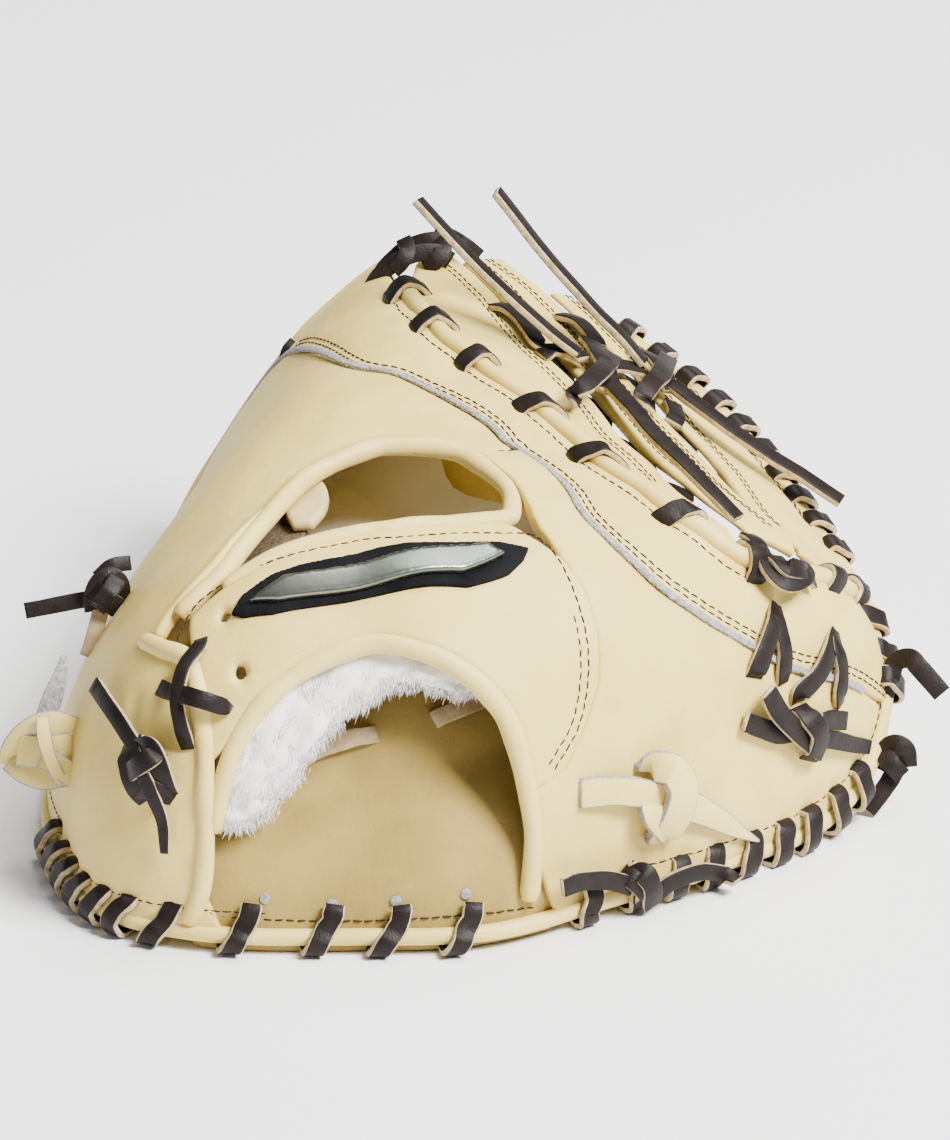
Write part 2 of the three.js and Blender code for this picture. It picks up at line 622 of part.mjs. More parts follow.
put("strap_lace", "lace", strips([-26.4, 15.2], [
  [[2, 9, 4.6], [-4, 4, 6.2], [-4.6, -6, 5.6], [-2, -16, 4.4]],
  [[-9.5, -1, 4.6], [-4, -2.5, 8.4], [2, -4, 6], [9, -6, 1.1]],
]));
put("pinky_knot", "lace", knot([-33.2, 9.4], 0.2, [[-15, 24, 1], [-9, 14, 1.8]], [[4.5, -23, 1], [3, -12, 1.8]]));
put("side_knot", "lace", knot([-35.7, 45.1], 0.4, [[-24, -6, 9], [-12, -4, 5]], [[-6, 6, 1]]));
put("side_tab", "cream", strips([-37.4, 41.4], [[[1, 8, 1.6], [-3, -6, 3.4], [-5, -13, 4]]], flatShape(7, 2.4)));
put("tip_curl", "lace", strips([48.6, 45], [[[-6, 2, 1.3], [0, 3, 3.4], [6, 1, 6], [11, -5, 9], [13, -10, 10]]]));
put("tip_knot", "lace", strips([46.4, 36.6], [
  [[-8, -2, 3.4], [0, 0, 4.6], [7, 2, 3.4]],
  [[-3, -15, 3.4], [-1, -5, 5.4], [2, 5, 6], [9, 6, 7]],
]));
const creamStrap = flatShape(creamStrapWidth, creamStrapThickness);
put("thumb_loop_strap", "cream", strips([18.7, 14.9], [
  [[-24, 3, 1.6], [-10, 1.8, 3], [0, 0, 4.2], [12, -4, 2.6], [27, -10, 1.7]],
  [[-3, -9, 1.8], [-1.8, -3, 6.6], [1.8, 4, 6.6], [3, 10, 1.8]],
], creamStrap));
put("pinky_loop_strap", "cream", strips([-42, 27.5], [
  [[-12, 4, 3.4], [0, 0, 3.4], [9, -7, 2], [19, -17, 1.3]],
  [[-2, -9, 1.3], [-2, -3, 5.6], [1, 4, 5.6], [2, 12, 1.3]],
], flatShape(9, creamStrapThickness)));

// The four long ends of the web laces, chosen point by point
const tails = {
  web_tail_up_left: [[33, 181, 113.5], [25, 184, 119], [12, 190, 129], [-2, 197, 141], [-16, 205, 154]],
  web_tail_up_right: [[53, 193, 105], [46, 195, 113], [35, 198, 124], [21, 202, 140], [8, 205, 157]],
  web_tail_down_left: [[39, 173, 111.5], [48, 151, 110.5], [56, 133, 108.5], [65, 117, 106], [74, 106, 101],
    [81, 101, 95.5]],
  web_tail_down_right: [[61, 188, 100.4], [70, 180, 96.5], [80, 174, 91], [90, 171, 85], [100, 170, 78.5],
    [113, 166, 71]],
};
for (const [name, points] of Object.entries(tails)) {
  const path = new THREE.CatmullRomCurve3(points.map((p) => new THREE.Vector3(...p))).getSpacedPoints(9);
  const sides = path.map(() => new THREE.Vector3(0.35, -0.9, 0.25));
  put(name, "lace", strand({ path, sides, shape: roundShape(tailWidth, tailThickness, 8) }));
}

// Rolled edges
put("web_welt", "roll", roll({
  line: between(rowLine, 1, 16), count: 24, off: 0.4,
  shape: roundShape(weltRoll, weltRoll, 6),
}));
put("wrist_strap_binding", "roll", roll({
  line: between(wristArch, 0, 16), count: 22, off: -backLeather / 2, shape: roundShape(strapRoll, strapRoll, 7),
}));
put("pinky_heel_binding", "roll", roll({
  line: heelPanelEdge, count: 12, off: -backLeather / 2 + 1, shape: roundShape(heelRoll, heelRoll, 8),
}));
put("back_opening_binding", "roll", roll({
  line: [...between(ovalTop, 1, 13), [-4.4, 31.6], [-4.9, 30.2], ...between(ovalBottom, 1, 7)],
  count: 34, off: -backLeather / 2, shape: roundShape(openingRoll, openingRoll, 6),
}));
put("seam_strip", "raw_edge", roll({
  line: between(seamLine, 2, 14), count: 24, off: seamHeight / 2 + 2.2 * gap, shape: flatShape(seamWidth, seamHeight),
}));

// The rolled edge round the rim, from the fingertip end of the web round the heel to its thumb end
const edgeTurns = Array.from({ length: 52 }, (_, i) => 11.2 + (i * 15.8) / 51);
const edgePlaces = edgeTurns.map(rimPlace);
put("palm_edge_binding", "roll", strand({
  path: edgePlaces.map((p) => p.point.clone().addScaledVector(p.across, rollUp).addScaledVector(p.normal, bindingIn)),
  sides: edgePlaces.map((p) => p.normal),
  shape: roundShape(edgeRoll, edgeRoll, 6),
}));

// Sheets
const backSheet = (outline, from = -backLeather, to = 0) =>
  ({ solid: sheet({ outline, surface: back, from, to }) });
const cover = ({ outline, surface, from, to, cell }) => ({
  solid: sheet({ outline, surface, from, to, cell }),
  room: sheet({ outline, surface, from: from - gap, to: to + gap, cell }),
});
const badgeLayer = (outline, from, to) => cover({ outline, surface: back, from, to, cell: badgeCell });
const feltBottom = 4 * gap;
const plateBottom = feltBottom + feltThickness + 2 * gap;
const linerBottom = 9 * gap;
const fleeceTop = -backLeather / 2 - strapRoll / 2 - 1.6 * gap;
const liningTop = -backLeather / 2 - openingRoll / 2 - 1.6 * gap;
put("badge_plate", "plate", badgeLayer(plateOutline, plateBottom, plateBottom + plateThickness));
put("badge_felt", "felt", badgeLayer(feltOutline, feltBottom, feltBottom + feltThickness));
put("web_near_band", "cream", backSheet(nearBandOutline, -webLeather, 0));
put("web_middle_band", "cream", backSheet(middleBandOutline, -webLeather, 0));
put("web_far_band", "cream", backSheet(farBandOutline, -webLeather, 0));
put("back_finger_panel", "cream", backSheet(fingerPanelOutline));
put("back_thumb_panel", "cream", backSheet(thumbPanelOutline));
put("back_upper_panel", "cream", backSheet(upperPanelOutline));
put("wrist_strap", "cream", backSheet(strapOutline));
put("wrist_fleece", "fleece", backSheet(fleeceOutline, fleeceTop - fleeceThickness, fleeceTop));
put("finger_loop_tab", "tan", backSheet(loopTabOutline, liningTop - tabThickness, liningTop));
put("mesh_patch", "mesh", backSheet(meshOutline, liningTop - 2 * tabThickness - 2 * gap, liningTop - tabThickness - 2 * gap));
put("palm_liner", "tan", cover({
  outline: linerOutline, surface: palm, from: linerBottom, to: linerBottom + linerThickness, cell: padCell,
}));
put("palm_pad", "cream", {
  solid: sheet({ outline: palmOutline, surface: palm, from: -padThickness, to: 0, cell: padCell }),
});

// Each piece leaves room for those before it, and nothing goes below the table.
const aboveTable = new THREE.BoxGeometry(3 * width, 3 * depth, 3 * height);
aboveTable.translate(0, 0, 1.5 * height);
const above = solidOf(aboveTable);
const biggest = (solid) => solid.decompose().sort((a, b) => b.volume() - a.volume())[0];

const materials = {
  cream: { color: 0xdccfac, roughness: 0.62 },
  roll: { color: 0xe6dab4, roughness: 0.58 },
  tan: { color: 0xc8b27a, roughness: 0.7 },
  lace: { color: 0x382c2a, roughness: 0.55 },
  raw_edge: { color: 0xacacb0, roughness: 0.9 },
  felt: { color: 0x16161a, roughness: 0.95 },
  plate: { color: 0x7d857c, roughness: 0.25, metalness: 0.6 },
  fleece: { color: 0xe8e6e4, roughness: 1 },
  mesh: { color: 0x5c4c32, roughness: 0.8 },
};

const bodies = new Map();
const rooms = [];
for (const [name, { solid, room }] of pieces) {
  let body = solid.intersect(above);
  for (const other of rooms) body = body.subtract(other);
  bodies.set(name, biggest(body));
  if (room) rooms.push(room);
}

// The origin is under the middle of the mitt, its free lace ends left out.
const { min, max } = [...bodies].filter(([name]) => !(name in tails)).map(([, body]) => body.boundingBox())
  .reduce((a, b) => ({
    min: a.min.map((v, i) => Math.min(v, b.min[i])),
    max: a.max.map((v, i) => Math.max(v, b.max[i])),
  }));

const mitt = new THREE.Group();
for (const [name, body] of bodies) {
  const mesh = body.getMesh();
  const geometry = new THREE.BufferGeometry();
  geometry.setAttribute("position", new THREE.BufferAttribute(new Float32Array(mesh.vertProperties), 3));
  geometry.setIndex(new THREE.BufferAttribute(new Uint32Array(mesh.triVerts), 1));
  geometry.computeVertexNormals();
  const part = new THREE.Mesh(geometry, new THREE.MeshStandardMaterial(materials[pieces.get(name).material]));
  part.name = name;
  part.position.set(-(min[0] + max[0]) / 2, -(min[1] + max[1]) / 2, 0);
  mitt.add(part);
}

export default mitt;
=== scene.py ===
import math

import bpy
import numpy as np
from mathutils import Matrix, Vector
from mathutils.geometry import delaunay_2d_cdt
from mathutils.kdtree import KDTree

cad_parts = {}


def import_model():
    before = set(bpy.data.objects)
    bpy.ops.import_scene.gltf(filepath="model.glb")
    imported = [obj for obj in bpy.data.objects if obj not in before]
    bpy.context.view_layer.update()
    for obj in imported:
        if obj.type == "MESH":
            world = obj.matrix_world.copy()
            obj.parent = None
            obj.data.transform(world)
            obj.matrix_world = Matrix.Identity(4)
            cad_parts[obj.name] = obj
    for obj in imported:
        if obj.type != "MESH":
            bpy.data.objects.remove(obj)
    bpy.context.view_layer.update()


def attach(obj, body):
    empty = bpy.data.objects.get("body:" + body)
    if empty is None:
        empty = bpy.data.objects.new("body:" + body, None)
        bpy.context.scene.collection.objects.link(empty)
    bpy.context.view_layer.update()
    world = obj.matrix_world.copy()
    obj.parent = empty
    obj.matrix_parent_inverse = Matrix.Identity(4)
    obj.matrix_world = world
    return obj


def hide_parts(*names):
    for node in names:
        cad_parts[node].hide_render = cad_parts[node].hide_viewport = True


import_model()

# Sizes of the mitt, as in its solids
WIDTH = 255
DEPTH = 262
HEIGHT = 119
ORIGIN = np.array([1.637, 125.51, 0])
BACK_LEATHER = 3
WEB_LEATHER = 2.6
PAD = 9
LACE_WIDTH = 6.3
LACE_THICKNESS = 2
EDGE_ROLL = 5.2
STRAP_ROLL = 6.4
HEEL_ROLL = 6
OPENING_ROLL = 6
WELT_ROLL = 5.4
ROLL_UP = 5.65

# The photograph is 950 by 1140 pixels at 3.3 pixels to the millimetre, seen from 25 degrees above the table
PIXELS_PER_MM = 3.3
PHOTO_HEIGHT = 1140
PHOTO_MIDDLE = (475, 570)
ELEVATION = math.radians(25)
CAMERA_DISTANCE = 8
SENSOR = 36
AIM = np.array([1.5, 125.5, 66.9])
RIGHT = np.array([1.0, 0, 0])
UP = np.array([0, math.sin(ELEVATION), math.cos(ELEVATION)])
TOWARDS = np.array([0, -math.cos(ELEVATION), math.sin(ELEVATION)])


def world(points):
    """Metres in the row frame, from millimetres in the mitt's own tables."""
    return (np.asarray(points, float) - ORIGIN) / 1000


def make_camera():
    data = bpy.data.cameras.new("camera")
    data.sensor_width = SENSOR
    data.lens = SENSOR * CAMERA_DISTANCE * 1000 * PIXELS_PER_MM / PHOTO_HEIGHT
    data.clip_end = 100
    camera = bpy.data.objects.new("camera", data)
    back = Vector((0, -math.cos(ELEVATION), math.sin(ELEVATION)))
    camera.location = Vector(world(AIM)) + back * CAMERA_DISTANCE
    camera.rotation_euler = (math.pi / 2 - ELEVATION, 0, 0)
    bpy.context.scene.collection.objects.link(camera)
    bpy.context.scene.camera = camera


make_camera()

# The rim: x, y, z in percent of width, depth and height, how far along the ridge its section climbs to, and fullness
STATIONS = np.array([
    (-14.9, -1.5, 0, 0, 2.3),
    (2, -0.4, 0, 0, 2.5),
    (17.6, 9.2, 0, 0, 2.6),
    (29.4, 17.2, 0, 0.02, 2.7),
    (40.4, 26.7, 0, 0.06, 2.7),
    (47.5, 36.6, 6.7, 0.14, 2.6),
    (49.8, 45, 25.2, 0.27, 2),
    (47.5, 53.4, 42.9, 0.42, 1.25),
    (40.4, 67.6, 55.5, 0.6, 0.9),
    (29.8, 81.3, 71.4, 0.8, 0.8),
    (13.7, 92.7, 87.4, 0.95, 1),
    (-3.1, 98.5, 97.5, 1, 1),
    (-18.8, 97.7, 73.9, 1, 1),
    (-32.2, 88.5, 39.5, 0.9, 1),
    (-42.7, 73.3, 6.7, 0.7, 1.1),
    (-48.2, 55.3, 0, 0.45, 1.45),
    (-50.2, 36.3, 0, 0.22, 1.9),
    (-48.6, 18.3, 0, 0.04, 2.2),
    (-43.1, 5.7, 0, 0, 2.3),
    (-32.2, -0.4, 0, 0, 2.3),
])
RIDGE = np.array([(-11.8, 29.8, 92.4), (-9.4, 49.6, 97.5), (-7.1, 70.6, 100), (-5.5, 89.7, 100)])
SCALE = np.array([WIDTH, DEPTH, HEIGHT]) / 100

# Lines on the back, as [u, v] in percent of width and depth
SEAM = [
    (-28.6, 92.3), (-25, 90.3), (-21.6, 84), (-14, 65), (-8.3, 59.3), (-3.4, 53.8), (-1.2, 49.4), (-0.7, 43.4),
    (0.6, 32.5), (7.3, 27.5), (14.5, 26.5), (22.6, 27.8), (28.7, 30.1), (39.2, 36.6), (50.5, 43.6),
]
ROW = [
    (-9, 86.5), (-7.7, 81.9), (-5.3, 75.7), (-3, 70.2), (-0.1, 66.3), (2.5, 61.6), (5.5, 57), (6.8, 51.8),
    (6.7, 47.8), (6.1, 43.1), (7.1, 39.5), (8.7, 36.4), (11.5, 35.2), (14.4, 34.2), (17.2, 34.3), (19.6, 35.7),
    (22.5, 36.7), (30.3, 42.4), (40, 48.5), (48.6, 50.8),
]
NEAR_BAND_FAR = [
    (-4.6, 98), (-2.1, 91.6), (1.3, 85.8), (4.7, 80.6), (9.2, 71.2), (12.2, 65.3), (14.3, 58.4), (13.6, 50.9),
    (11.2, 43), (12.2, 39.2), (14.6, 37.6), (17.8, 37.4),
]
MIDDLE_BAND_NEAR = [
    (-2.6, 96.2), (-0.4, 91.8), (6.1, 82.3), (11.1, 74.8), (14.4, 68.8), (16.6, 62.3), (17.6, 55.3), (16.4, 48),
    (16.2, 43.5), (18.6, 40),
]
MIDDLE_BAND_FAR = [
    (3.4, 95.6), (8.5, 88.9), (14.5, 81.3), (20, 72.5), (24.2, 64), (26.6, 57.9), (27, 52), (25.4, 46.2), (24, 41.2),
]
FAR_BAND_NEAR = [
    (10.4, 90.4), (16, 83.5), (21.8, 75.8), (26.4, 67.4), (29.2, 61.5), (29.9, 55), (28.6, 49.2), (26.6, 43.4),
]
OVAL_TOP = [
    (-28.1, 20.8), (-26.5, 22.3), (-24.4, 23.6), (-21.7, 25.9), (-19.4, 31.3), (-16.9, 38.1), (-14.1, 41.3),
    (-11.3, 43.3), (-9.2, 43.9), (-7.1, 43.9), (-5.7, 42.9), (-5, 40.4), (-4.6, 36.4), (-3.9, 32.9), (-3, 30),
]
OVAL_BOTTOM = [
    (-4.7, 29.7), (-7.8, 29.1), (-10.4, 28.1), (-13, 26.8), (-16.3, 25.6), (-19.3, 24.2), (-22.3, 22.8),
    (-25.6, 21.2),
]
STRAP_THUMB_END = [
    (-2.2, 29.5), (0.7, 26.3), (3.9, 23.4), (6.1, 20.7), (7.4, 18.1), (7.6, 15.3), (7.2, 13.1), (6.6, 11.1),
    (4.5, 8.8),
]
WRIST_ARCH = [
    (-27.3, 5.1), (-25.3, 7.9), (-23.3, 10.3), (-20.6, 12.7), (-17.4, 14.7), (-14.1, 16.1), (-11.1, 16.8),
    (-7.3, 16), (-4.4, 14.9), (-2.1, 13.8), (-0.1, 12.6), (1.8, 10.7), (3.7, 8.6), (5.4, 6.7), (6.1, 5),
    (6.6, 3.4), (7.2, 2.3),
]
HEEL_EDGE = [
    (-32.3, 0.9), (-29.7, 2.5), (-27.7, 5.8), (-26.5, 9.4), (-25.8, 13.6), (-26.2, 17), (-28.3, 19.4),
    (-30.2, 22.3),
]


def spline(rows, f):
    p0, p1, p2, p3 = rows
    f = f[:, None]
    square, cube = 2 * p0 - 5 * p1 + 4 * p2 - p3, 3 * p1 - p0 - 3 * p2 + p3
    return 0.5 * (2 * p1 + (p2 - p0) * f + square * f**2 + cube * f**3)


def stations_at(t):
    i = np.floor(t).astype(int)
    return spline([STATIONS[(i + k) % len(STATIONS)] for k in (-1, 0, 1, 2)], t - i)


def ridge_at(share):
    last = len(RIDGE) - 1
    k = np.clip(share, 0, 1) * last
    i = np.minimum(np.floor(k).astype(int), last - 1)
    return spline([RIDGE[np.clip(i + j, 0, last)] for j in (-1, 0, 1, 2)], k - i)


def section(m, full):
    """The profile of the dome from the rim (m is 0) to the ridge (m is 1): straight, round or full."""
    power = 2 / np.maximum(full, 2)
    round_ = np.clip(full - 1, -1, 1)
    angle = np.clip(m, 0, 1) * math.pi / 2
    across = round_ * (1 - np.cos(angle) ** power) + (1 - round_) * m
    up = round_ * np.sin(angle) ** power + (1 - round_) * (1 - (1 - m) ** 2)
    return np.where(m < 0, m, across), np.where(m < 0, 0, up)


def on_section(t, m):
    foot = stations_at(t)
    top = ridge_at(foot[:, 3])
    across, up = section(m, foot[:, 4])
    share = np.stack([across, across, up], 1)
    return (foot[:, :3] + (top - foot[:, :3]) * share) * SCALE


def to_chart(t, m):
    foot = stations_at(t)
    top = ridge_at(foot[:, 3])
    return foot[:, :2] + (top[:, :2] - foot[:, :2]) * np.asarray(m)[:, None]


SECTORS_PER_STATION = 36
BATCH = 3000
OFF_CHART = -9
SECTOR_T = np.arange(len(STATIONS) * SECTORS_PER_STATION + 1) / SECTORS_PER_STATION
SECTOR_FOOT = to_chart(SECTOR_T, np.zeros(len(SECTOR_T)))
SECTOR_RUN = to_chart(SECTOR_T, np.ones(len(SECTOR_T))) - SECTOR_FOOT


def locate(points):
    """The station and the share of the way to the ridge of chart points."""
    points = np.asarray(points, float)
    t = np.zeros(len(points))
    m = np.zeros(len(points))
    length = (SECTOR_RUN**2).sum(1)
    for start in range(0, len(points), BATCH):
        part = points[start:start + BATCH]
        dx = part[:, :1] - SECTOR_FOOT[:, 0]
        dy = part[:, 1:] - SECTOR_FOOT[:, 1]
        side = dx * SECTOR_RUN[:, 1] - dy * SECTOR_RUN[:, 0]
        along = (dx * SECTOR_RUN[:, 0] + dy * SECTOR_RUN[:, 1]) / length
        a, b = side[:, :-1], side[:, 1:]
        crosses = (a * b <= 0) & (a != b)
        f = np.where(crosses, a / np.where(crosses, a - b, 1), 0)
        here = along[:, :-1] + (along[:, 1:] - along[:, :-1]) * f
        here = np.where(crosses & (here <= 1.0005), here, OFF_CHART)
        best = here.argmax(1)
        rows = np.arange(len(part))
        m[start:start + BATCH] = here[rows, best]
        t[start:start + BATCH] = SECTOR_T[best] + f[rows, best] / SECTORS_PER_STATION
    return t, m


def lengths(line):
    """How far along a line each of its points lies."""
    return np.r_[0, np.cumsum(np.linalg.norm(np.diff(line, axis=0), axis=1))]


# Arc length up each section, for a flatter plane to make meshes in
ARC_POINTS = 60
ARC_M = (np.arange(ARC_POINTS) / (ARC_POINTS - 1)) ** 2.5
ARC = np.array([lengths(on_section(np.full(ARC_POINTS, t), ARC_M)) for t in SECTOR_T])
ARC /= ARC[:, -1:]


def by_sector(t, values, inputs, outputs):
    """Values looked up in the tables of the two sectors on either side of a station, and blended."""
    i = np.clip(np.floor(t * SECTORS_PER_STATION).astype(int), 0, len(SECTOR_T) - 2)
    f = t * SECTORS_PER_STATION - i
    result = np.array(values, float)
    for row in np.unique(i):
        pick = i == row
        low = np.interp(values[pick], inputs(row), outputs(row))
        high = np.interp(values[pick], inputs(row + 1), outputs(row + 1))
        result[pick] = low + (high - low) * f[pick]
    return np.where(values < 0, values, result)


def to_plane(chart):
    t, m = locate(chart)
    w = by_sector(t, m, lambda i: ARC_M, lambda i: ARC[i])
    return to_chart(t, w) * SCALE[:2]


def from_plane(plane):
    t, w = locate(plane / SCALE[:2])
    return t, by_sector(t, w, lambda i: ARC[i], lambda i: ARC_M)


def smooth(x):
    c = np.clip(x, 0, 1)
    return c * c * (3 - 2 * c)


def line_distance(points, line):
    line = np.asarray(line, float)
    best = np.full(len(points), 1e9)
    for a, b in zip(line[:-1], line[1:]):
        run = b - a
        f = np.clip(((points - a) @ run) / (run @ run), 0, 1)
        best = np.minimum(best, np.linalg.norm(points - a - f[:, None] * run, axis=1))
    return best


def back(t, m):
    """The middle of the leather of the back, at a station and a share of the way to the ridge."""
    return on_section(t, m)


# How far the palm's surface lies from the back's towards the core: at the rim, and more where the hand goes
PALM_AT_RIM = 0.072
PALM_ROOM = 0.25
ROOM_FROM_RIM = 0.42
ROOM_FROM_ROW = 21.5
ROOM_AT_ROW = 0.25


def palm(t, m):
    """The hand side of the palm, under the place of the back that has the same chart point."""
    p = on_section(t, m)
    foot = stations_at(t)
    core = ridge_at(foot[:, 3]) * SCALE
    core[:, 2] = -HEIGHT / 10
    from_row = smooth(line_distance(to_chart(t, m), ROW) / ROOM_FROM_ROW)
    room = smooth(m / ROOM_FROM_RIM) * np.minimum(1, ROOM_AT_ROW + from_row)
    return p + (core - p) * (PALM_AT_RIM + PALM_ROOM * room)[:, None]


def at(chart, surface=back):
    return surface(*locate(np.asarray(chart, float)))


def frames(chart, surface=back, step=0.25):
    """Points, chart directions and outward normals."""
    chart = np.asarray(chart, float)
    du = np.array([step, 0])
    dv = np.array([0, step])
    pu = (at(chart + du, surface) - at(chart - du, surface)) / (2 * step)
    pv = (at(chart + dv, surface) - at(chart - dv, surface)) / (2 * step)
    normal = np.cross(pu, pv)
    normal /= np.linalg.norm(normal, axis=1)[:, None]
    return at(chart, surface), pu, pv, normal


def skin(chart, surface=back):
    """Points and outward normals alone."""
    return frames(chart, surface)[::3]


def unit(v):
    return v / np.maximum(np.linalg.norm(v, axis=-1, keepdims=True), 1e-9)


def chart_step(pu, pv, want):
    """The step in the chart that goes a wanted way in space."""
    uu, uv, vv = (pu * pu).sum(1), (pu * pv).sum(1), (pv * pv).sum(1)
    a, b = (want * pu).sum(1), (want * pv).sum(1)
    det = uu * vv - uv * uv
    return np.stack([(a * vv - b * uv) / det, (b * uu - a * uv) / det], 1)


def fine(line, per=10):
    """A smooth curve through a table's points, per points to each of its stretches."""
    line = np.asarray(line, float)
    ends = np.vstack([2 * line[0] - line[1], line, 2 * line[-1] - line[-2]])
    out = []
    for i in range(len(line) - 1):
        f = np.arange(per) / per
        out.append(spline([np.tile(ends[i + k], (per, 1)) for k in range(4)], f))
    return np.vstack([*out, line[-1:]])


def stretch(line, first, last, aside_by=0, per=10):
    """The part of a table's smooth curve between two of its points, moved to its left on the leather."""
    run = fine(line, per)[first * per:last * per + 1]
    return aside(run, aside_by) if aside_by else run


def aside(run, millimetres):
    """A run in the chart moved to its left on the leather."""
    _, pu, pv, normal = frames(run)
    d = np.gradient(run, axis=0)
    ahead = unit(pu * d[:, :1] + pv * d[:, 1:])
    return run + chart_step(pu, pv, np.cross(normal, ahead) * millimetres)


def foot_run(first, last, reach):
    """The rim between two stations, so many millimetres up the wall."""
    t = np.linspace(first, last, int(abs(last - first) * 12) + 2)
    shares = np.linspace(0, 0.25, 400) ** 1.5
    out = []
    for one in t:
        wall = on_section(np.full(400, one), shares)
        far = np.linalg.norm(wall - wall[0], axis=1)
        out.append(np.interp(reach, far, shares))
    return to_chart(t, np.array(out))


def rim_run(first, last, share):
    t = np.linspace(first, last, int(abs(last - first) * 12) + 2)
    return to_chart(t, np.full(len(t), share))


def sampled(line, s, where):
    """A line's points at some of its measures, where s is the measure of each of its own."""
    return np.stack([np.interp(where, s, line[:, k]) for k in range(line.shape[1])], 1)


def resampled(line, count):
    return sampled(line, np.linspace(0, 1, len(line)), np.linspace(0, 1, count))


def even(points, step):
    """Points spread evenly along a polyline."""
    points = np.asarray(points, float)
    s = lengths(points)
    return sampled(points, s, np.linspace(0, s[-1], max(int(round(s[-1] / step)), 1) + 1))


# Materials
def nodes_of(material):
    material.use_nodes = True
    return material.node_tree.nodes, material.node_tree.links


# Blotches are as wide as a material says; pores and wrinkles are the same size on all
PORES = 1400
WRINKLES = 280


def leather(name, colour, shade, roughness=0.5, grain=1.0, blotch=60, sheen=0.0, metallic=0.0, gloss=0.5, painted_light_tone=None):
    """Leather or cloth: two tones in soft blotches, pores, wrinkles, and, where given, painted light: a pale tone
    that fades in deeper in the hand room, under the back opening.
    """
    material = bpy.data.materials.new(name)
    nodes, links = nodes_of(material)

    def add(kind, **inputs):
        node = nodes.new("ShaderNode" + kind)
        for key, value in inputs.items():
            node.inputs[key].default_value = value
        return node

    def link(node, output, other, key):
        links.new(node.outputs[output], other.inputs[key])

    shader = nodes["Principled BSDF"]
    for key, value in (
            ("Roughness", roughness), ("Metallic", metallic), ("Sheen Weight", sheen), ("Specular IOR Level", gloss)):
        shader.inputs[key].default_value = value
    place = add("TexCoord")
    blotches = add("TexNoise", Scale=blotch, Detail=6)
    pores = add("TexVoronoi", Scale=PORES)
    wrinkles = add("TexNoise", Scale=WRINKLES, Detail=8)
    for texture in (blotches, pores, wrinkles):
        link(place, "Object", texture, "Vector")
    tones = add("ValToRGB")
    for end, position, tone in zip(tones.color_ramp.elements, (0.3, 0.62), (shade, colour)):
        end.position = position
        end.color = (*tone, 1)
    link(blotches, "Fac", tones, "Fac")
    # Painted light: from about 50 to 115 mm deep (under the back opening) the colour fades to the pale tone, standing
    # for the light that falls in there.
    if painted_light_tone:
        axes = add("SeparateXYZ")
        depth = nodes.new("ShaderNodeMapRange")
        depth.inputs["From Min"].default_value = -0.075
        depth.inputs["From Max"].default_value = -0.01
        mixed = nodes.new("ShaderNodeMix")
        mixed.data_type = "RGBA"
        mixed.inputs["B"].default_value = (*painted_light_tone, 1)
        link(place, "Object", axes, "Vector")
        link(axes, "Y", depth, "Value")
        link(depth, "Result", mixed, "Factor")
        link(tones, "Color", mixed, "A")
        link(mixed, "Result", shader, "Base Color")
    else:
        link(tones, "Color", shader, "Base Color")
    broad = add("Bump", Strength=0.3 * grain, Distance=0.0006)
    narrow = add("Bump", Strength=0.25 * grain, Distance=0.0002)
    link(wrinkles, "Fac", broad, "Height")
    link(pores, "Distance", narrow, "Height")
    link(broad, "Normal", narrow, "Normal")
    link(narrow, "Normal", shader, "Normal")
    return material


CREAM = leather("cream", (0.73, 0.56, 0.155), (0.66, 0.49, 0.12), roughness=0.55, gloss=0.35)
ROLL = leather("roll", (0.75, 0.585, 0.18), (0.68, 0.515, 0.14), roughness=0.52, grain=0.8, gloss=0.35)
PALM = leather("palm", (0.73, 0.575, 0.2), (0.65, 0.5, 0.16), roughness=0.55, grain=1.2, blotch=30)
# The liner's tan, with painted light: it fades to a pale tone deeper in the hand room, under the back opening.
TAN = leather(
    "tan", (0.34, 0.245, 0.065), (0.28, 0.195, 0.05), roughness=0.8, grain=1.3, gloss=0.15, painted_light_tone=(0.8, 0.76, 0.68))
TAB = leather("tab", (0.6, 0.46, 0.2), (0.5, 0.38, 0.15), roughness=0.75, grain=1.3, gloss=0.2)
LACE = leather("lace", (0.012, 0.0075, 0.006), (0.005, 0.0033, 0.0027), roughness=0.5, grain=1.2, blotch=160,
               gloss=0.18)
LACE_EDGE = leather("lace_edge", (0.5, 0.385, 0.21), (0.26, 0.19, 0.1), roughness=0.8, grain=1.6, blotch=500)
RAW = leather("raw_edge", (0.34, 0.33, 0.32), (0.17, 0.16, 0.155), roughness=0.95, grain=3, blotch=700)
THREAD = leather("thread", (0.035, 0.02, 0.011), (0.016, 0.009, 0.005), roughness=0.7, grain=0.6, blotch=500,
                 gloss=0.15)
FELT = leather("felt", (0.009, 0.009, 0.01), (0.004, 0.004, 0.005), roughness=1, grain=3, gloss=0.05)
PLATE = leather("plate", (0.2, 0.205, 0.165), (0.1, 0.125, 0.105), roughness=0.3, grain=0.2, metallic=0.9, blotch=25)
FLEECE = leather("fleece", (0.9, 0.88, 0.85), (0.8, 0.78, 0.75), roughness=1, grain=1, sheen=0.4)
LINING_LACE = leather("lining_lace", (0.42, 0.31, 0.16), (0.3, 0.215, 0.1), roughness=0.7, grain=1.5, blotch=300)
MESH = leather("mesh", (0.13, 0.085, 0.04), (0.03, 0.02, 0.01), roughness=0.8, grain=2, blotch=900)


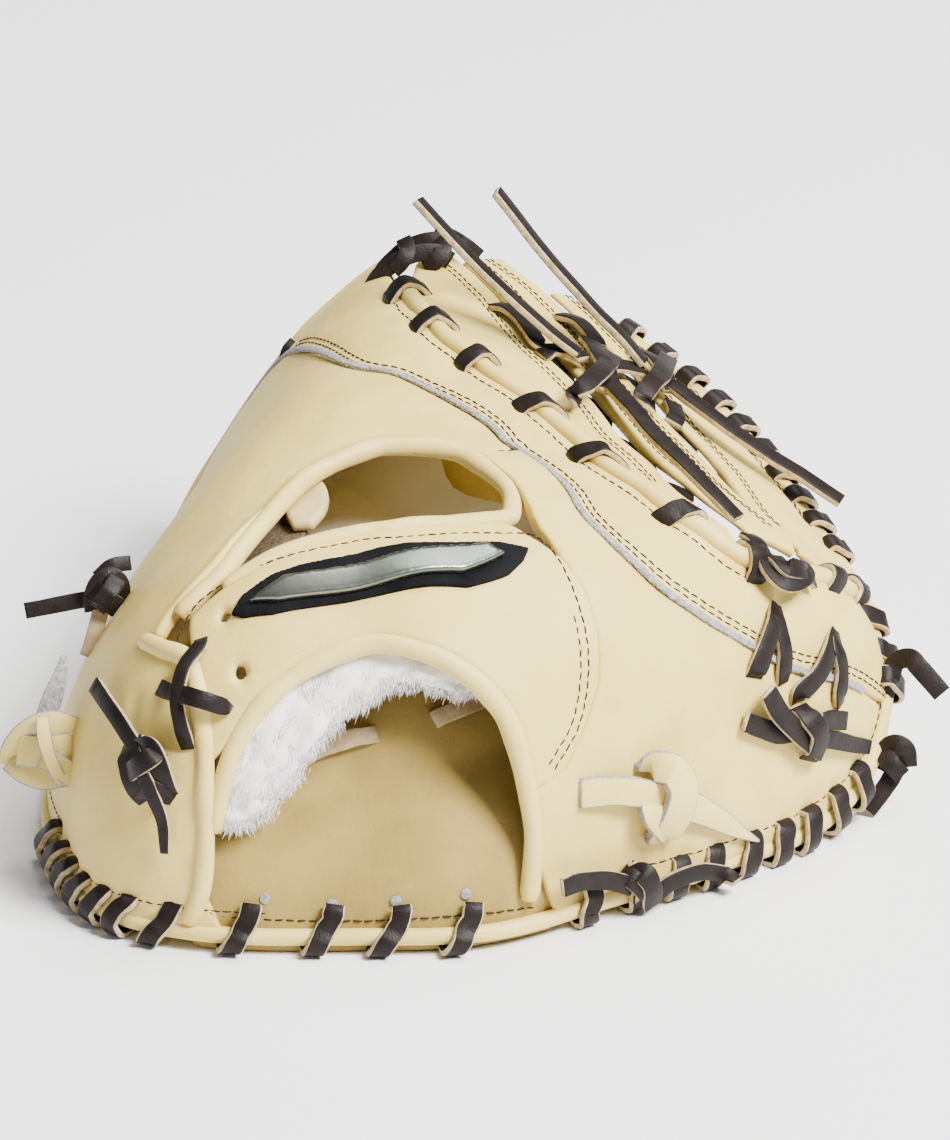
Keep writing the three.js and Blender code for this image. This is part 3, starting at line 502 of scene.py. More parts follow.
def piece(name, points, faces, materials, nodes=(), slot=None, face_materials=None, smooth_faces=True):
    """A mesh of the mitt, from millimetres, standing for CAD nodes."""
    mesh = bpy.data.meshes.new(name)
    mesh.from_pydata(world(points).tolist(), [], [tuple(map(int, f)) for f in faces])
    for material in materials:
        mesh.materials.append(material)
    if face_materials is not None:
        mesh.polygons.foreach_set("material_index", np.asarray(face_materials, np.int32))
    mesh.polygons.foreach_set("use_smooth", [smooth_faces] * len(mesh.polygons))
    mesh.update()
    obj = bpy.data.objects.new(name, mesh)
    bpy.context.scene.collection.objects.link(obj)
    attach(obj, "root")
    if nodes:
        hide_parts(*nodes)
    return obj


def tree_of(spots):
    tree = KDTree(len(spots))
    for i, p in enumerate(spots):
        tree.insert(p, i)
    tree.balance()
    return tree


def near_any(points, spots):
    """Distance of points to the nearest of some spots."""
    tree = tree_of(spots)
    return np.array([tree.find(p)[2] for p in points])


def nearest(points, line):
    """Distance of points to a densely sampled line in space."""
    return near_any(points, even(line, 0.35))


def inside(points, polygon):
    x, y = points[:, 0], points[:, 1]
    odd = np.zeros(len(points), bool)
    for (ax, ay), (bx, by) in zip(polygon, np.roll(polygon, -1, axis=0)):
        odd ^= ((ay > y) != (by > y)) & (x < (bx - ax) * (y - ay) / (by - ay + 1e-12) + ax)
    return odd


HOLE_SIDES = 14


def flat_mesh(border, circles, cell, rim):
    """Points in the plane and triangles between a border and some holes, closer together along the border."""
    low, high = border.min(0), border.max(0)
    xs = np.arange(low[0], high[0], cell)
    ys = np.arange(low[1], high[1], cell * math.sqrt(3) / 2)
    grid = np.array([(x + (j % 2) * cell / 2, y) for j, y in enumerate(ys) for x in xs])
    grid = grid[inside(grid, border)]
    closed = np.vstack([border, border[:1]])
    grid = grid[line_distance(grid, closed) > cell * 0.75]
    tangent = unit(np.roll(border, -1, axis=0) - np.roll(border, 1, axis=0))
    turn = np.sign(np.cross(border, np.roll(border, -1, axis=0)).sum())
    inward = np.stack([-tangent[:, 1], tangent[:, 0]], 1) * turn
    rings = []
    for depth in (0.3 * rim, 0.9 * rim):
        ring = border + inward * depth
        rings.append(ring[line_distance(ring, closed) > depth * 0.92])
    kept = []
    start = len(border)
    for ring in circles:
        grid = grid[np.linalg.norm(grid - ring.mean(0), axis=1) > np.ptp(ring[:, 0]) / 2 + cell * 0.3]
        kept += [(start + i, start + (i + 1) % len(ring)) for i in range(len(ring))]
        start += len(ring)
    points = np.vstack([border, *circles, *rings, grid])
    made = delaunay_2d_cdt([Vector(p) for p in points], kept, [list(range(len(border)))], 1, 1e-4)
    plane = np.array([tuple(p) for p in made[0]])
    faces = np.array([f for f in made[2] if len(f) == 3])
    for ring in circles:
        middle = plane[faces].mean(1) - ring.mean(0)
        faces = faces[np.linalg.norm(middle, axis=1) > np.ptp(ring[:, 0]) / 2 * 0.96]
    used, faces = np.unique(faces, return_inverse=True)
    return plane[used], faces.reshape(-1, 3)


def facing_up(base, faces):
    """Faces turned so that they look up from the table on the whole, and the normals of their points."""
    a, b, c = (base[faces[:, k]] for k in range(3))
    across = np.cross(b - a, c - a)
    if across[:, 2].sum() < 0:
        faces, across = faces[:, ::-1], -across
    normal = np.zeros_like(base)
    for k in range(3):
        np.add.at(normal, faces[:, k], across)
    return faces, unit(normal)


def sheet_mesh(outline, surface=back, top=0.0, bottom=-3.0, cell=2.2, rim=1.0, relief=None, holes=()):
    """Points and faces of a leather piece over the chart, with rounded edges and round holes."""
    border = even(to_plane(np.vstack([outline, outline[:1]])), cell * 0.55)[:-1]
    circles = [to_plane([centre])[0] + circle(radius) for centre, radius in holes]
    plane, faces = flat_mesh(border, circles, cell, rim)
    t, m = from_plane(plane)
    base = surface(t, m)
    faces, normal = facing_up(base, faces)
    edges = dict.fromkeys((p, q) for a, b, c in faces.tolist() for p, q in ((a, b), (b, c), (c, a)))
    away = np.full(len(base), np.inf)
    for k, ring in enumerate([border, *circles]):
        closed = np.vstack([ring, ring[:1]])
        away = np.minimum(away, nearest(base, surface(*from_plane(closed if k else even(closed, 0.5)))))
    away = np.clip(away, 0, rim)
    drop = rim - np.sqrt(np.maximum(rim**2 - (rim - away) ** 2, 0))
    raised = relief(base, to_chart(t, m)) if relief else 0
    upper = base + normal * (top - drop + raised)[:, None]
    lower = base + normal * (bottom + 0.4 * drop)[:, None]
    count = len(base)
    all_faces = [*faces.tolist(), *(faces[:, ::-1] + count).tolist()]
    all_faces += [(b, a, a + count, b + count) for a, b in edges if (b, a) not in edges]
    return np.vstack([upper, lower]), all_faces


def sheet(name, outline, node, material, slot, **shape):
    points, faces = sheet_mesh(outline, **shape)
    return piece(name, points, faces, [material], [node], slot)


def tube_faces(rings, sides, start=0):
    """Faces between rings of points, and over the first and the last ring."""
    faces = []
    for i in range(start, start + (rings - 1) * sides, sides):
        for j in range(sides):
            a, b = i + j, i + (j + 1) % sides
            faces.append((a, b, b + sides, a + sides))
    last = start + (rings - 1) * sides
    return [*faces, tuple(range(start, start + sides))[::-1], tuple(range(last, last + sides))]


def tube_mesh(path, normals, section_points):
    """A section swept along a path; its x axis lies across, its y axis along the normals."""
    ahead = unit(np.gradient(path, axis=0))
    across = unit(np.cross(ahead, normals))
    up = np.cross(across, ahead)
    sections = section_points if callable(section_points) else lambda i: section_points
    points = []
    for i in range(len(path)):
        s = np.asarray(sections(i))
        points.append(path[i] + s[:, :1] * across[i] + s[:, 1:] * up[i])
    return np.vstack(points), tube_faces(len(path), len(points[0]))


def circle(radius, sides=HOLE_SIDES):
    angle = np.arange(sides) / sides * 2 * math.pi
    return np.stack([np.cos(angle) * radius, np.sin(angle) * radius], 1)


def strap_section(width, thickness, corner=0.42):
    """A flat strap's section, its four long corners rounded."""
    w, h, c = width / 2, thickness / 2, corner
    k = c * 0.3
    return np.array([
        (-w, -h + c), (-w + k, -h + k), (-w + c, -h), (w - c, -h), (w - k, -h + k), (w, -h + c),
        (w, h - c), (w - k, h - k), (w - c, h), (-w + c, h), (-w + k, h - k), (-w, h - c),
    ])


def edge_faces(count, whole=False):
    """Material 1 on a strap's narrow sides and the rounding below them, and above them if whole; 0 elsewhere."""
    upper = int(whole)
    per_ring = [1, 1, 0, 1, 1, 1, upper, upper, 0, upper, upper, 1]
    return per_ring * (count - 1) + [1, 1]


def wavy(path, normals, amount, seed, length=14.0):
    """Small uneven shifts along a path, so that no roll or lace is perfectly even."""
    local = np.random.default_rng(seed)
    s = lengths(path)
    knots = np.arange(0, s[-1] + 2 * length, length)
    values = local.normal(0, amount, (2, len(knots)))
    soft = [np.interp(s, knots, v) for v in values]
    ahead = unit(np.gradient(path, axis=0))
    across = np.cross(ahead, normals)
    return path + across * soft[0][:, None] + normals * (soft[1] * 0.6)[:, None]


LEAST_WHOLE = 2.5


def uneven(count, apart, amount, seed):
    """Factors about 1 that change softly from point to point."""
    places = np.arange(0, count + apart, apart)
    return 1 + np.interp(np.arange(count), places, np.random.default_rng(seed).normal(0, amount, len(places)))


ROLL_STEP = 1.6
ROLL_SIDES = 16


def roll(name, line, node, radius, off, seed):
    """A rolled leather edge along a line, narrower at its two ends."""
    base, normal = skin(resampled(line, len(even(at(line), ROLL_STEP))))
    path = wavy(base + normal * off, normal, 0.18, seed)
    ends = np.minimum(np.arange(len(path)), np.arange(len(path))[::-1])
    sizes = uneven(len(path), 6, 0.06, seed) * np.where(ends < 2, 0.75 + 0.1 * ends, 1)
    points, faces = tube_mesh(path, normal, lambda i: circle(radius * sizes[i], ROLL_SIDES))
    piece(name, points, faces, [ROLL], [node], "roll")


def row_place(line, share):
    """A place on a line of the chart: point, along, across and outward normal."""
    run = fine(line, 12)
    s = lengths(run)
    pick = lambda x: sampled(run, s, [x * s[-1]])
    here, normal = skin(pick(share))
    along = unit(at(pick(min(share + 0.01, 1))) - at(pick(max(share - 0.01, 0))))[0]
    return here[0], along, unit(np.cross(normal[0], along)), normal[0]


def rim_place(t):
    """A place on the rim: point, along, up the wall and outward normal."""
    one = lambda a, m: on_section(np.array([a]), np.array([m]))[0]
    point = one(t, 0.0)
    along = unit(one(t + 0.05, 0.0) - one(t - 0.05, 0.0))
    wall = unit(one(t, 0.03) - point)
    across = unit(wall - along * (wall @ along))
    return point, along, across, unit(np.cross(along, across))


def lace_mesh(path, normals, width=LACE_WIDTH, thickness=LACE_THICKNESS, per=7, seed=3, taper=1.0):
    path = fine(path, per)
    normals = unit(fine(normals, per))
    path = wavy(path, normals, 0.15, seed, 9)
    widths = width * uneven(len(path), 5, 0.035, seed)
    widths *= 1 - (1 - taper) * np.linspace(0, 1, len(path)) ** 2
    points, faces = tube_mesh(path, normals, lambda i: strap_section(widths[i], thickness))
    return points, faces, edge_faces(len(path), thickness > LEAST_WHOLE)


def joined(parts):
    points, faces, kinds, start = [], [], [], 0
    for p, f, k in parts:
        points.append(p)
        faces += [tuple(i + start for i in face) for face in f]
        kinds += k
        start += len(p)
    return np.vstack(points), faces, kinds


TABLE_GAP = 0.15


def lace(name, parts, node, slot="lace", materials=(LACE, LACE_EDGE)):
    points, faces, kinds = joined(parts)
    points[:, 2] = np.maximum(points[:, 2], TABLE_GAP)
    piece(name, points, faces, materials, [node] if node else [], slot, kinds)


def lacing(place, steps, seed):
    """A lace through one place of a row: steps of [across, off, along] in millimetres."""
    point, along, across, normal = place
    path = [point + across * a + normal * off + along * s for a, off, s in steps]
    last = len(steps) - 1
    normals = [unit(np.cross(along, path[min(i + 1, last)] - path[max(i - 1, 0)])) for i in range(last + 1)]
    path = np.array(path)
    path[:, 2] = np.maximum(path[:, 2], LACE_THICKNESS / 2 + 0.2)
    return lace_mesh(path, np.array(normals), seed=seed)


THREAD_SIDES = 6


def stitches(name, lines, off=0.0, pitch=3.3, length=2.9, radius=0.26, wave=0.12, seed=11):
    """Sewn thread along lines of points and normals: each stitch is a short bent rod."""
    local = np.random.default_rng(seed)
    points, faces = [], []
    start = 0
    shares = np.array([-0.5, -0.36, 0, 0.36, 0.5])
    heights = np.array([-0.4, 0.04, 0.14, 0.04, -0.4])
    sizes = np.array([0.5, 0.95, 1.05, 0.95, 0.5])
    ring = circle(radius, THREAD_SIDES)
    for k, (base, normal) in enumerate(lines):
        s = lengths(base)
        count = int(s[-1] / pitch)
        for i in range(count):
            middle = (i + 0.5) * s[-1] / count
            tilt = wave * (1 if (i + k) % 2 else -1) * local.uniform(0.6, 1.3)
            where = middle + shares * length * local.uniform(0.92, 1.06)
            p = sampled(base, s, where)
            n = unit(sampled(normal, s, where))
            ahead = unit(p[-1] - p[0])
            across = np.cross(n, ahead)
            p = p + n * (off + heights)[:, None] + across * (shares * 2 * tilt)[:, None]
            for j in range(len(shares)):
                points.append(p[j] + (ring[:, :1] * across[j] + ring[:, 1:] * n[j]) * sizes[j])
            faces += tube_faces(len(shares), THREAD_SIDES, start)
            start += len(shares) * THREAD_SIDES
    piece(name, np.vstack(points), faces, [THREAD], (), "lace")


# The four long lace ends, chosen point by point, come first because they are the free cords
TAILS = {
    "web_tail_up_left": [(33, 181, 113.5), (25, 184, 119), (12, 190, 129), (-2, 197, 141), (-16, 205, 154)],
    "web_tail_up_right": [(53, 193, 105), (46, 195, 113), (35, 198, 124), (21, 202, 140), (8, 205, 157)],
    "web_tail_down_left": [(39, 173, 111.5), (48, 151, 110.5), (56, 133, 108.5), (65, 117, 106), (74, 106, 101),
                           (81, 101, 95.5)],
    "web_tail_down_right": [(61, 188, 100.4), (70, 180, 96.5), (80, 174, 91), (90, 171, 85), (100, 170, 78.5),
                            (113, 166, 71)],
}
TAIL_WIDTH = 6
TAIL_THICKNESS = 2.2


def tail(name, points):
    path = even(fine(points, 12), 1.2)
    ahead = unit(np.gradient(path, axis=0))
    level = unit(np.cross(ahead, TOWARDS))
    level *= np.where(level @ (RIGHT + UP) > 0, -1, 1)[:, None]
    turn = math.radians(67 if "up" in name else 60)
    normals = unit(np.cross(level * math.cos(turn) + TOWARDS * math.sin(turn), ahead))
    path = wavy(path, normals, 0.12, len(name), 10)
    shape = strap_section(TAIL_WIDTH, TAIL_THICKNESS)
    made, faces = tube_mesh(path, normals, lambda i: shape)
    obj = piece(name + "_lace", made, faces, [LACE, LACE_EDGE], [name], "lace", edge_faces(len(path)))


for tail_name, tail_points in TAILS.items():
    tail(tail_name, tail_points)

# Places read from the photograph, in its pixels, found again on the leather
GRID_T, GRID_M = (a.ravel() for a in np.meshgrid(np.arange(0, 20, 0.05), np.linspace(0, 1, 140) ** 1.5))


def project(points):
    from_aim = points - AIM
    near = 1 / (1 - from_aim @ TOWARDS / (CAMERA_DISTANCE * 1000))
    return np.stack([PHOTO_MIDDLE[0] + PIXELS_PER_MM * from_aim @ RIGHT * near,
                     PHOTO_MIDDLE[1] - PIXELS_PER_MM * from_aim @ UP * near], 1)


SEARCH_PIXELS = 12
SAME_SIDE = 25
LEAST_SPREAD = 0.4
LONGEST_STEP = 1.5
LONGEST_SHIFT = 15


def finder(surface):
    """A search for the chart points of a surface that show at pixels of the photograph, the front ones if hidden."""
    points = surface(GRID_T, GRID_M)
    pixels = project(points)
    tree = tree_of(np.c_[pixels, np.zeros(len(pixels))])
    chart = to_chart(GRID_T, GRID_M)
    depth = points @ TOWARDS

    def find(places):
        start = []
        for x, y in places:
            near = [i for _, i, _ in tree.find_range((x, y, 0), SEARCH_PIXELS)] or [tree.find((x, y, 0))[1]]
            front = max(depth[i] for i in near)
            near = [i for i in near if depth[i] > front - SAME_SIDE]
            start.append(chart[min(near, key=lambda i: np.hypot(*(pixels[i] - (x, y))))])
        chart_now = np.array(start)
        want = np.asarray(places, float)
        for _ in range(6):
            here = project(at(chart_now, surface))
            du = (project(at(chart_now + (0.05, 0), surface)) - here) / 0.05
            dv = (project(at(chart_now + (0, 0.05), surface)) - here) / 0.05
            miss = want - here
            det = du[:, 0] * dv[:, 1] - du[:, 1] * dv[:, 0]
            det = np.where(np.abs(det) < LEAST_SPREAD, LEAST_SPREAD, det)
            step = np.stack([(miss[:, 0] * dv[:, 1] - miss[:, 1] * dv[:, 0]) / det,
                             (miss[:, 1] * du[:, 0] - miss[:, 0] * du[:, 1]) / det], 1)
            chart_now = chart_now + np.clip(step, -LONGEST_STEP, LONGEST_STEP)
        return chart_now
    return find


seen = finder(back)


def shown(places, turns, find=seen, surface=back, lift=0.0):
    """Chart points, points and normals for pixels of the photograph and millimetres off a surface."""
    places = np.asarray(places, float)
    aim = places[:, :2].copy()
    for _ in range(turns):
        chart = find(aim)
        base, normal = skin(chart, surface)
        points = base + normal * (lift + places[:, 2:])
        aim = aim + np.clip(places[:, :2] - project(points), -LONGEST_SHIFT, LONGEST_SHIFT)
    return chart, points, normal


def waves(points, size, seed, count=9):
    """Soft uneven relief between about -1 and 1."""
    local = np.random.default_rng(seed)
    total = np.zeros(len(points))
    for _ in range(count):
        direction = local.normal(0, 1, 3)
        direction /= np.linalg.norm(direction)
        total += np.sin(points @ direction * (2 * math.pi / (size * local.uniform(0.7, 1.5))) + local.uniform(0, 6.3))
    return total / math.sqrt(count) / 1.2


def groove(points, line, depth, wide):
    """A crease or sewn-down line: a dip along a line in space."""
    far = nearest(points, line)
    return -depth * np.exp(-(far / wide) ** 2)


# Sewn lines: pairs beside an edge, runs up from the rim, and some of their own
SEWN = {}
for key, edge, first, last, one, other in (
        ("seam", SEAM, 2, 14, 3.2, 5.3),
        ("near_band", NEAR_BAND_FAR, 1, 8, -3.6, -5.5),
        ("middle_near", MIDDLE_BAND_NEAR, 1, 7, 3.6, 5.5),
        ("middle_far", MIDDLE_BAND_FAR, 0, 7, -3.6, -5.5),
        ("far_near", FAR_BAND_NEAR, 0, 6, 4, 5.9)):
    SEWN[key + "_a"] = stretch(edge, first, last, one)
    SEWN[key + "_b"] = stretch(edge, first, last, other)
SEWN["row"] = stretch(ROW, 1, 15, -5.6)
for key, first, last, height in (
        ("far_rim_a", 9.7, 7.5, 12),
        ("far_rim_b", 9.7, 7.5, 13.9),
        ("heel_edge", 21.6, 25.6, 13.5),
        ("heel_left", 19.5, 17.2, 13.5),
        ("finger_foot", 16.8, 12.9, 14.5),
        ("upper_rim", 5.9, 6.65, 13.5),
        ("tip_rim", 11.55, 12.6, 13.5)):
    SEWN[key] = foot_run(first, last, height)
SEWN["finger_branch"] = fine([(-2.9, 42.8), (-1.4, 43.5), (0.2, 45.3)])
STRAP_SEWN = fine([
    (-26.8, 19.2), (-24.5, 21.8), (-20.2, 23.4), (-14.4, 25.2), (-10.2, 26.7), (-4.7, 27.9), (-1.7, 27.8), (2.9, 23),
    (5.7, 19), (6.7, 14.9), (5.5, 10.9),
])
SEWN["strap"] = STRAP_SEWN
SEWN["strap_end"] = aside(STRAP_SEWN[72:], -2.6)
SEWN["opening"] = stretch(OVAL_TOP, 1, 10, 5.4)
# Folds in the leather: pixels of the photograph, how deep and how wide, in millimetres
FOLDS = [
    ([(785, 590), (782, 612), (775, 640)], 1.3, 2.6),
    ([(850, 600), (842, 620), (830, 640)], 1.1, 2.6),
    ([(136, 700), (131, 730), (140, 762)], 1.2, 3.0),
]
SEWN_SPACE = {key: at(line) for key, line in SEWN.items()}
FOLD_SPACE = [(at(fine(seen(places))), depth, wide) for places, depth, wide in FOLDS]


def hole_at(place, across, along=0.0):
    point, ahead, aside_way, _ = place
    return point + aside_way * across + ahead * along


ROW_STEP = 6.3
RIM_HOLE = 8.4
HOLE_UP = 13
NEAR_ROW = [(0.055, 0), (0.15, 0), (0.25, 0), (0.36, 3), (0.46, 4), (0.56, 4), (0.645, 0)]
RIM_ROW = (9.64, 9.4, 9.17, 8.94, 8.7, 8.47, 8.24, 8, 7.74, 7.46)
THUMB_EDGE = (21.7, 22.1, 22.5, 22.87, 23.25, 23.57, 23.9, 24.33, 24.75)
PINKY_EDGE = (16.7, 17, 17.3, 17.6, 17.9, 18.2, 18.62)
PUCKERS = [hole_at(row_place(ROW, s), side * ROW_STEP, side * lean) for s, lean in NEAR_ROW for side in (-1, 1)]
PUCKERS += [hole_at(rim_place(t), RIM_HOLE) for t in RIM_ROW]
PUCKERS += [hole_at(rim_place(t), HOLE_UP, lean) for run, lean in ((THUMB_EDGE, 3), (PINKY_EDGE, 4)) for t in run]
OPENING_SPACE = at(fine(OVAL_TOP))


def relief_of(*keys, soft=0.9, size=60, seed=1, depth=0.4):
    def relief(points, chart):
        total = waves(points, size, seed) * soft + waves(points, size / 4, seed + 50) * soft * 0.12
        total -= 1.0 * np.exp(-(near_any(points, PUCKERS) / 2.6) ** 2)
        total += 1.3 * np.exp(-(nearest(points, OPENING_SPACE) / 4.2) ** 2)
        for key in keys:
            total += groove(points, SEWN_SPACE[key], depth, 1.3)
        for line, deep, wide in FOLD_SPACE:
            total += groove(points, line, deep, wide)
        return total
    return relief


# Leather panels of the back and the web
def joined_outline(*runs):
    return np.vstack([np.atleast_2d(r) for r in runs])


UNDER_ROLL = 1.6
ARCH_EDGE = stretch(WRIST_ARCH, 0, 16, UNDER_ROLL)
TOP_EDGE = stretch(OVAL_TOP, 0, 14, UNDER_ROLL)
BOTTOM_EDGE = stretch(OVAL_BOTTOM, 0, 7, UNDER_ROLL)
ARCH = lambda first, last: ARCH_EDGE[first * 10:last * 10 + 1]
TOP = lambda first, last: TOP_EDGE[first * 10:last * 10 + 1]
FOOT = 6.6

finger_outline = joined_outline(
    stretch(SEAM, 2, 7, -0.2), (-2.4, 42.8), [p for p in TOP(0, 10)[::-1] if p[0] < -3.6],
    stretch(HEEL_EDGE, 1, 7, UNDER_ROLL)[::-1], foot_run(19.2, 12.7, FOOT))
thumb_outline = joined_outline(
    stretch(SEAM, 7, 13, -0.2), (49.4, 43.0), foot_run(5.8, 1.5, FOOT), ARCH(12, 14)[::-1],
    stretch(STRAP_THUMB_END, 0, 7, -1.2)[::-1], stretch(OVAL_TOP, 10, 14, 0.5)[::-1], (-2.4, 42.6))
upper_outline = joined_outline(
    stretch(SEAM, 2, 13, 0.2), (49.4, 43.4), foot_run(5.85, 6.7, FOOT), stretch(ROW, 0, 18, -1.0)[::-1],
    foot_run(11.5, 12.69, FOOT))
strap_outline = joined_outline(
    ARCH(2, 12), stretch(STRAP_THUMB_END, 1, 7, -0.3)[::-1], BOTTOM_EDGE, stretch(HEEL_EDGE, 3, 5, -UNDER_ROLL)[::-1])
near_outline = joined_outline(
    stretch(ROW, 1, 14, 1.0), stretch(NEAR_BAND_FAR, 0, 10, 1.4)[::-1], (-4.4, 94.6), (-6.4, 90.5))
middle_outline = joined_outline(stretch(MIDDLE_BAND_NEAR, 1, 9, -1.4), stretch(MIDDLE_BAND_FAR, 0, 8, 1.4)[::-1])
far_outline = joined_outline(
    stretch(FAR_BAND_NEAR, 0, 7, -1.4), (31, 43.5), (39.2, 49.1), (46, 51.7), foot_run(7, 9.9, 1.0))

RELIEFS = {
    "finger": relief_of("heel_left", "finger_foot", "opening", "finger_branch", seed=3, soft=1.1, size=75),
    "thumb": relief_of("heel_edge", seed=4, soft=1.0, size=70),
    "upper": relief_of("seam_a", "seam_b", "row", "upper_rim", "tip_rim", seed=5, soft=0.9, size=60),
    "strap": relief_of("strap", "strap_end", seed=6, soft=0.6, size=60),
    "near": relief_of("near_band_a", "near_band_b", seed=7, soft=0.5, size=50),
    "middle": relief_of("middle_near_a", "middle_near_b", "middle_far_a", "middle_far_b", seed=8, soft=0.5, size=50),
    "far": relief_of("far_near_a", "far_near_b", "far_rim_a", "far_rim_b", seed=9, soft=0.6, size=55),
}
PANEL_CELL = 1.6
STRAP_HOLES = [(spot, 1.25) for spot in seen([(225, 616), (240, 672)])]
for panel, panel_outline, node, rim, more in (
        ("finger", finger_outline, "back_finger_panel", 1.3, {}),
        ("thumb", thumb_outline, "back_thumb_panel", 1.3, {}),
        ("upper", upper_outline, "back_upper_panel", 1.2, {}),
        ("strap", strap_outline, "wrist_strap", 1.3, {"top": 0.5, "holes": STRAP_HOLES})):
    sheet(panel + "_panel", panel_outline, node, CREAM, "cream", cell=PANEL_CELL, rim=rim,
          relief=RELIEFS[panel], **more)
for band, band_outline in (("near", near_outline), ("middle", middle_outline), ("far", far_outline)):
    sheet(band + "_band", band_outline, f"web_{band}_band", CREAM, "cream", cell=PANEL_CELL, rim=1.2,
          bottom=-WEB_LEATHER, relief=RELIEFS[band])

# Rolled edges
roll("welt", stretch(ROW, 1, 19), "web_welt", WELT_ROLL / 2, 0.4, seed=21)
roll("strap_binding", stretch(WRIST_ARCH, 0, 15), "wrist_strap_binding", STRAP_ROLL / 2, -1.5, seed=22)
roll("heel_binding", stretch(HEEL_EDGE, 0, 7), "pinky_heel_binding", HEEL_ROLL / 2, -0.5, seed=23)
roll("opening_binding", fine([*OVAL_TOP[1:13], (-4.4, 31.6), (-4.9, 30.2), *OVAL_BOTTOM[1:7]]),
     "back_opening_binding", OPENING_ROLL / 2, -1.5, seed=24)


def rim_roll():
    t = np.linspace(11.2, 27, 360) % 20
    here, later, sooner = (on_section(t + d, np.zeros(len(t))) for d in (0, 0.05, -0.05))
    along = unit(later - sooner)
    wall = unit(on_section(t, np.full(len(t), 0.03)) - here)
    across = unit(wall - along * (wall * along).sum(1, keepdims=True))
    normal = unit(np.cross(along, across))
    path = wavy(here + across * ROLL_UP - normal * 0.6, normal, 0.2, 31)
    points, faces = tube_mesh(path, normal, circle(EDGE_ROLL / 2, ROLL_SIDES))
    points[:, 2] = np.maximum(points[:, 2], 0.1)
    piece("edge_binding", points, faces, [ROLL], ["palm_edge_binding"], "roll")


rim_roll()


def ragged_strip(name, line, node, width, height, seed):
    """A cut leather edge: a flat strip with torn, fibrous sides."""
    chart = even(line, 0.22)
    base, normal = skin(chart)
    local = np.random.default_rng(seed)
    path = base + normal * (height / 2)
    sizes = local.normal(1, 0.13, (len(path), 12))

    def shape(i):
        return strap_section(width, height, 0.4) * sizes[i][:, None]
    points, faces = tube_mesh(path, normal, shape)
    piece(name, points, faces, [RAW], [node], "raw_edge", smooth_faces=False)


ragged_strip("seam_edge", np.vstack([foot_run(12.7, 12.7, FOOT + 1)[:1], stretch(SEAM, 2, 13)]), "seam_strip",
             2.1, 1.2, 41)

# Padded palm, its lining and the wrist
PALM_OUTLINE = joined_outline(rim_run(7, -8.6, 0.004), fine(ROW)[10:171] + (1.2, 0.6))


pad_points, pad_faces = sheet_mesh(PALM_OUTLINE, surface=palm, top=-0.3, bottom=-PAD, cell=3.4, rim=3.2,
                                   relief=lambda points, chart: waves(points, 55, 61) * 0.8)
pad_points[:, 2] = np.maximum(pad_points[:, 2], 0.1)
pad = piece("palm_padding", pad_points, pad_faces, [PALM], ["palm_pad"], "cream")

LINER_LIFT = 2.7
LINER_TOP = LINER_LIFT + 1.5
liner_outline = joined_outline(
    rim_run(21.5, 18.9, 0.004), fine(np.vstack([
        to_chart(np.array([17.6, 16, 14.8]), np.array([0.24, 0.3, 0.4])),
        [(-15, 70), (-4, 62), (0, 46), (8, 34)],
        to_chart(np.array([4.6, 3, 2]), np.array([0.3, 0.26, 0.16]))]), 6))
sheet("liner", liner_outline, "palm_liner", TAN, "tan", surface=palm, top=LINER_TOP, bottom=LINER_LIFT, cell=2.4,
      rim=0.7, relief=lambda points, chart: waves(points, 45, 62) * 0.5 + waves(points, 12, 63) * 0.1)


def seen_under(places, off):
    """Chart points whose place so many millimetres off the leather shows at pixels of the photograph."""
    return shown([(x, y, off) for x, y in places], 5)[0]


LINING_TOP = -BACK_LEATHER / 2 - OPENING_ROLL / 2 - 0.5
LOOP_TAB = fine(seen_under([
    (292, 524), (283, 508), (286, 490), (303, 476), (319, 477), (327, 489), (325, 506), (312, 522)], LINING_TOP), 6)
MESH_PATCH = fine(seen_under([
    (226, 572), (236, 546), (256, 520), (282, 502), (300, 510), (306, 530), (292, 552), (262, 572)],
    LINING_TOP - 3.6), 6)
sheet("loop_tab", LOOP_TAB, "finger_loop_tab", TAB, "tan", top=LINING_TOP, bottom=LINING_TOP - 3, cell=1.4, rim=1.3)
sheet("mesh_lining", MESH_PATCH, "mesh_patch", MESH, "mesh", top=LINING_TOP - 3.6, bottom=LINING_TOP - 6.6, cell=1.4,
      rim=0.8, relief=lambda points, chart: waves(points, 30, 64) * 0.6)

FLEECE_TOP = -BACK_LEATHER / 2 - STRAP_ROLL / 2 - 0.5
FLEECE_THICK = 4.4
FLEECE_EDGE = seen_under([
    (482, 688), (461, 692), (437, 686), (411, 681), (389, 684), (372, 698), (346, 714), (320, 738), (302, 766),
    (279, 798), (256, 816), (236, 824)], FLEECE_TOP - 2.2)
FLEECE_OUTLINE = np.vstack([
    [(-27.4, 5.6), (-25.6, 9.6), (-21.8, 14.2), (-17.4, 16.6), (-11, 18.2), (-4.8, 16.8), (-1.6, 15)], FLEECE_EDGE,
    [(-27.4, 5.6)]])
FLEECE_HAIRS = 14000


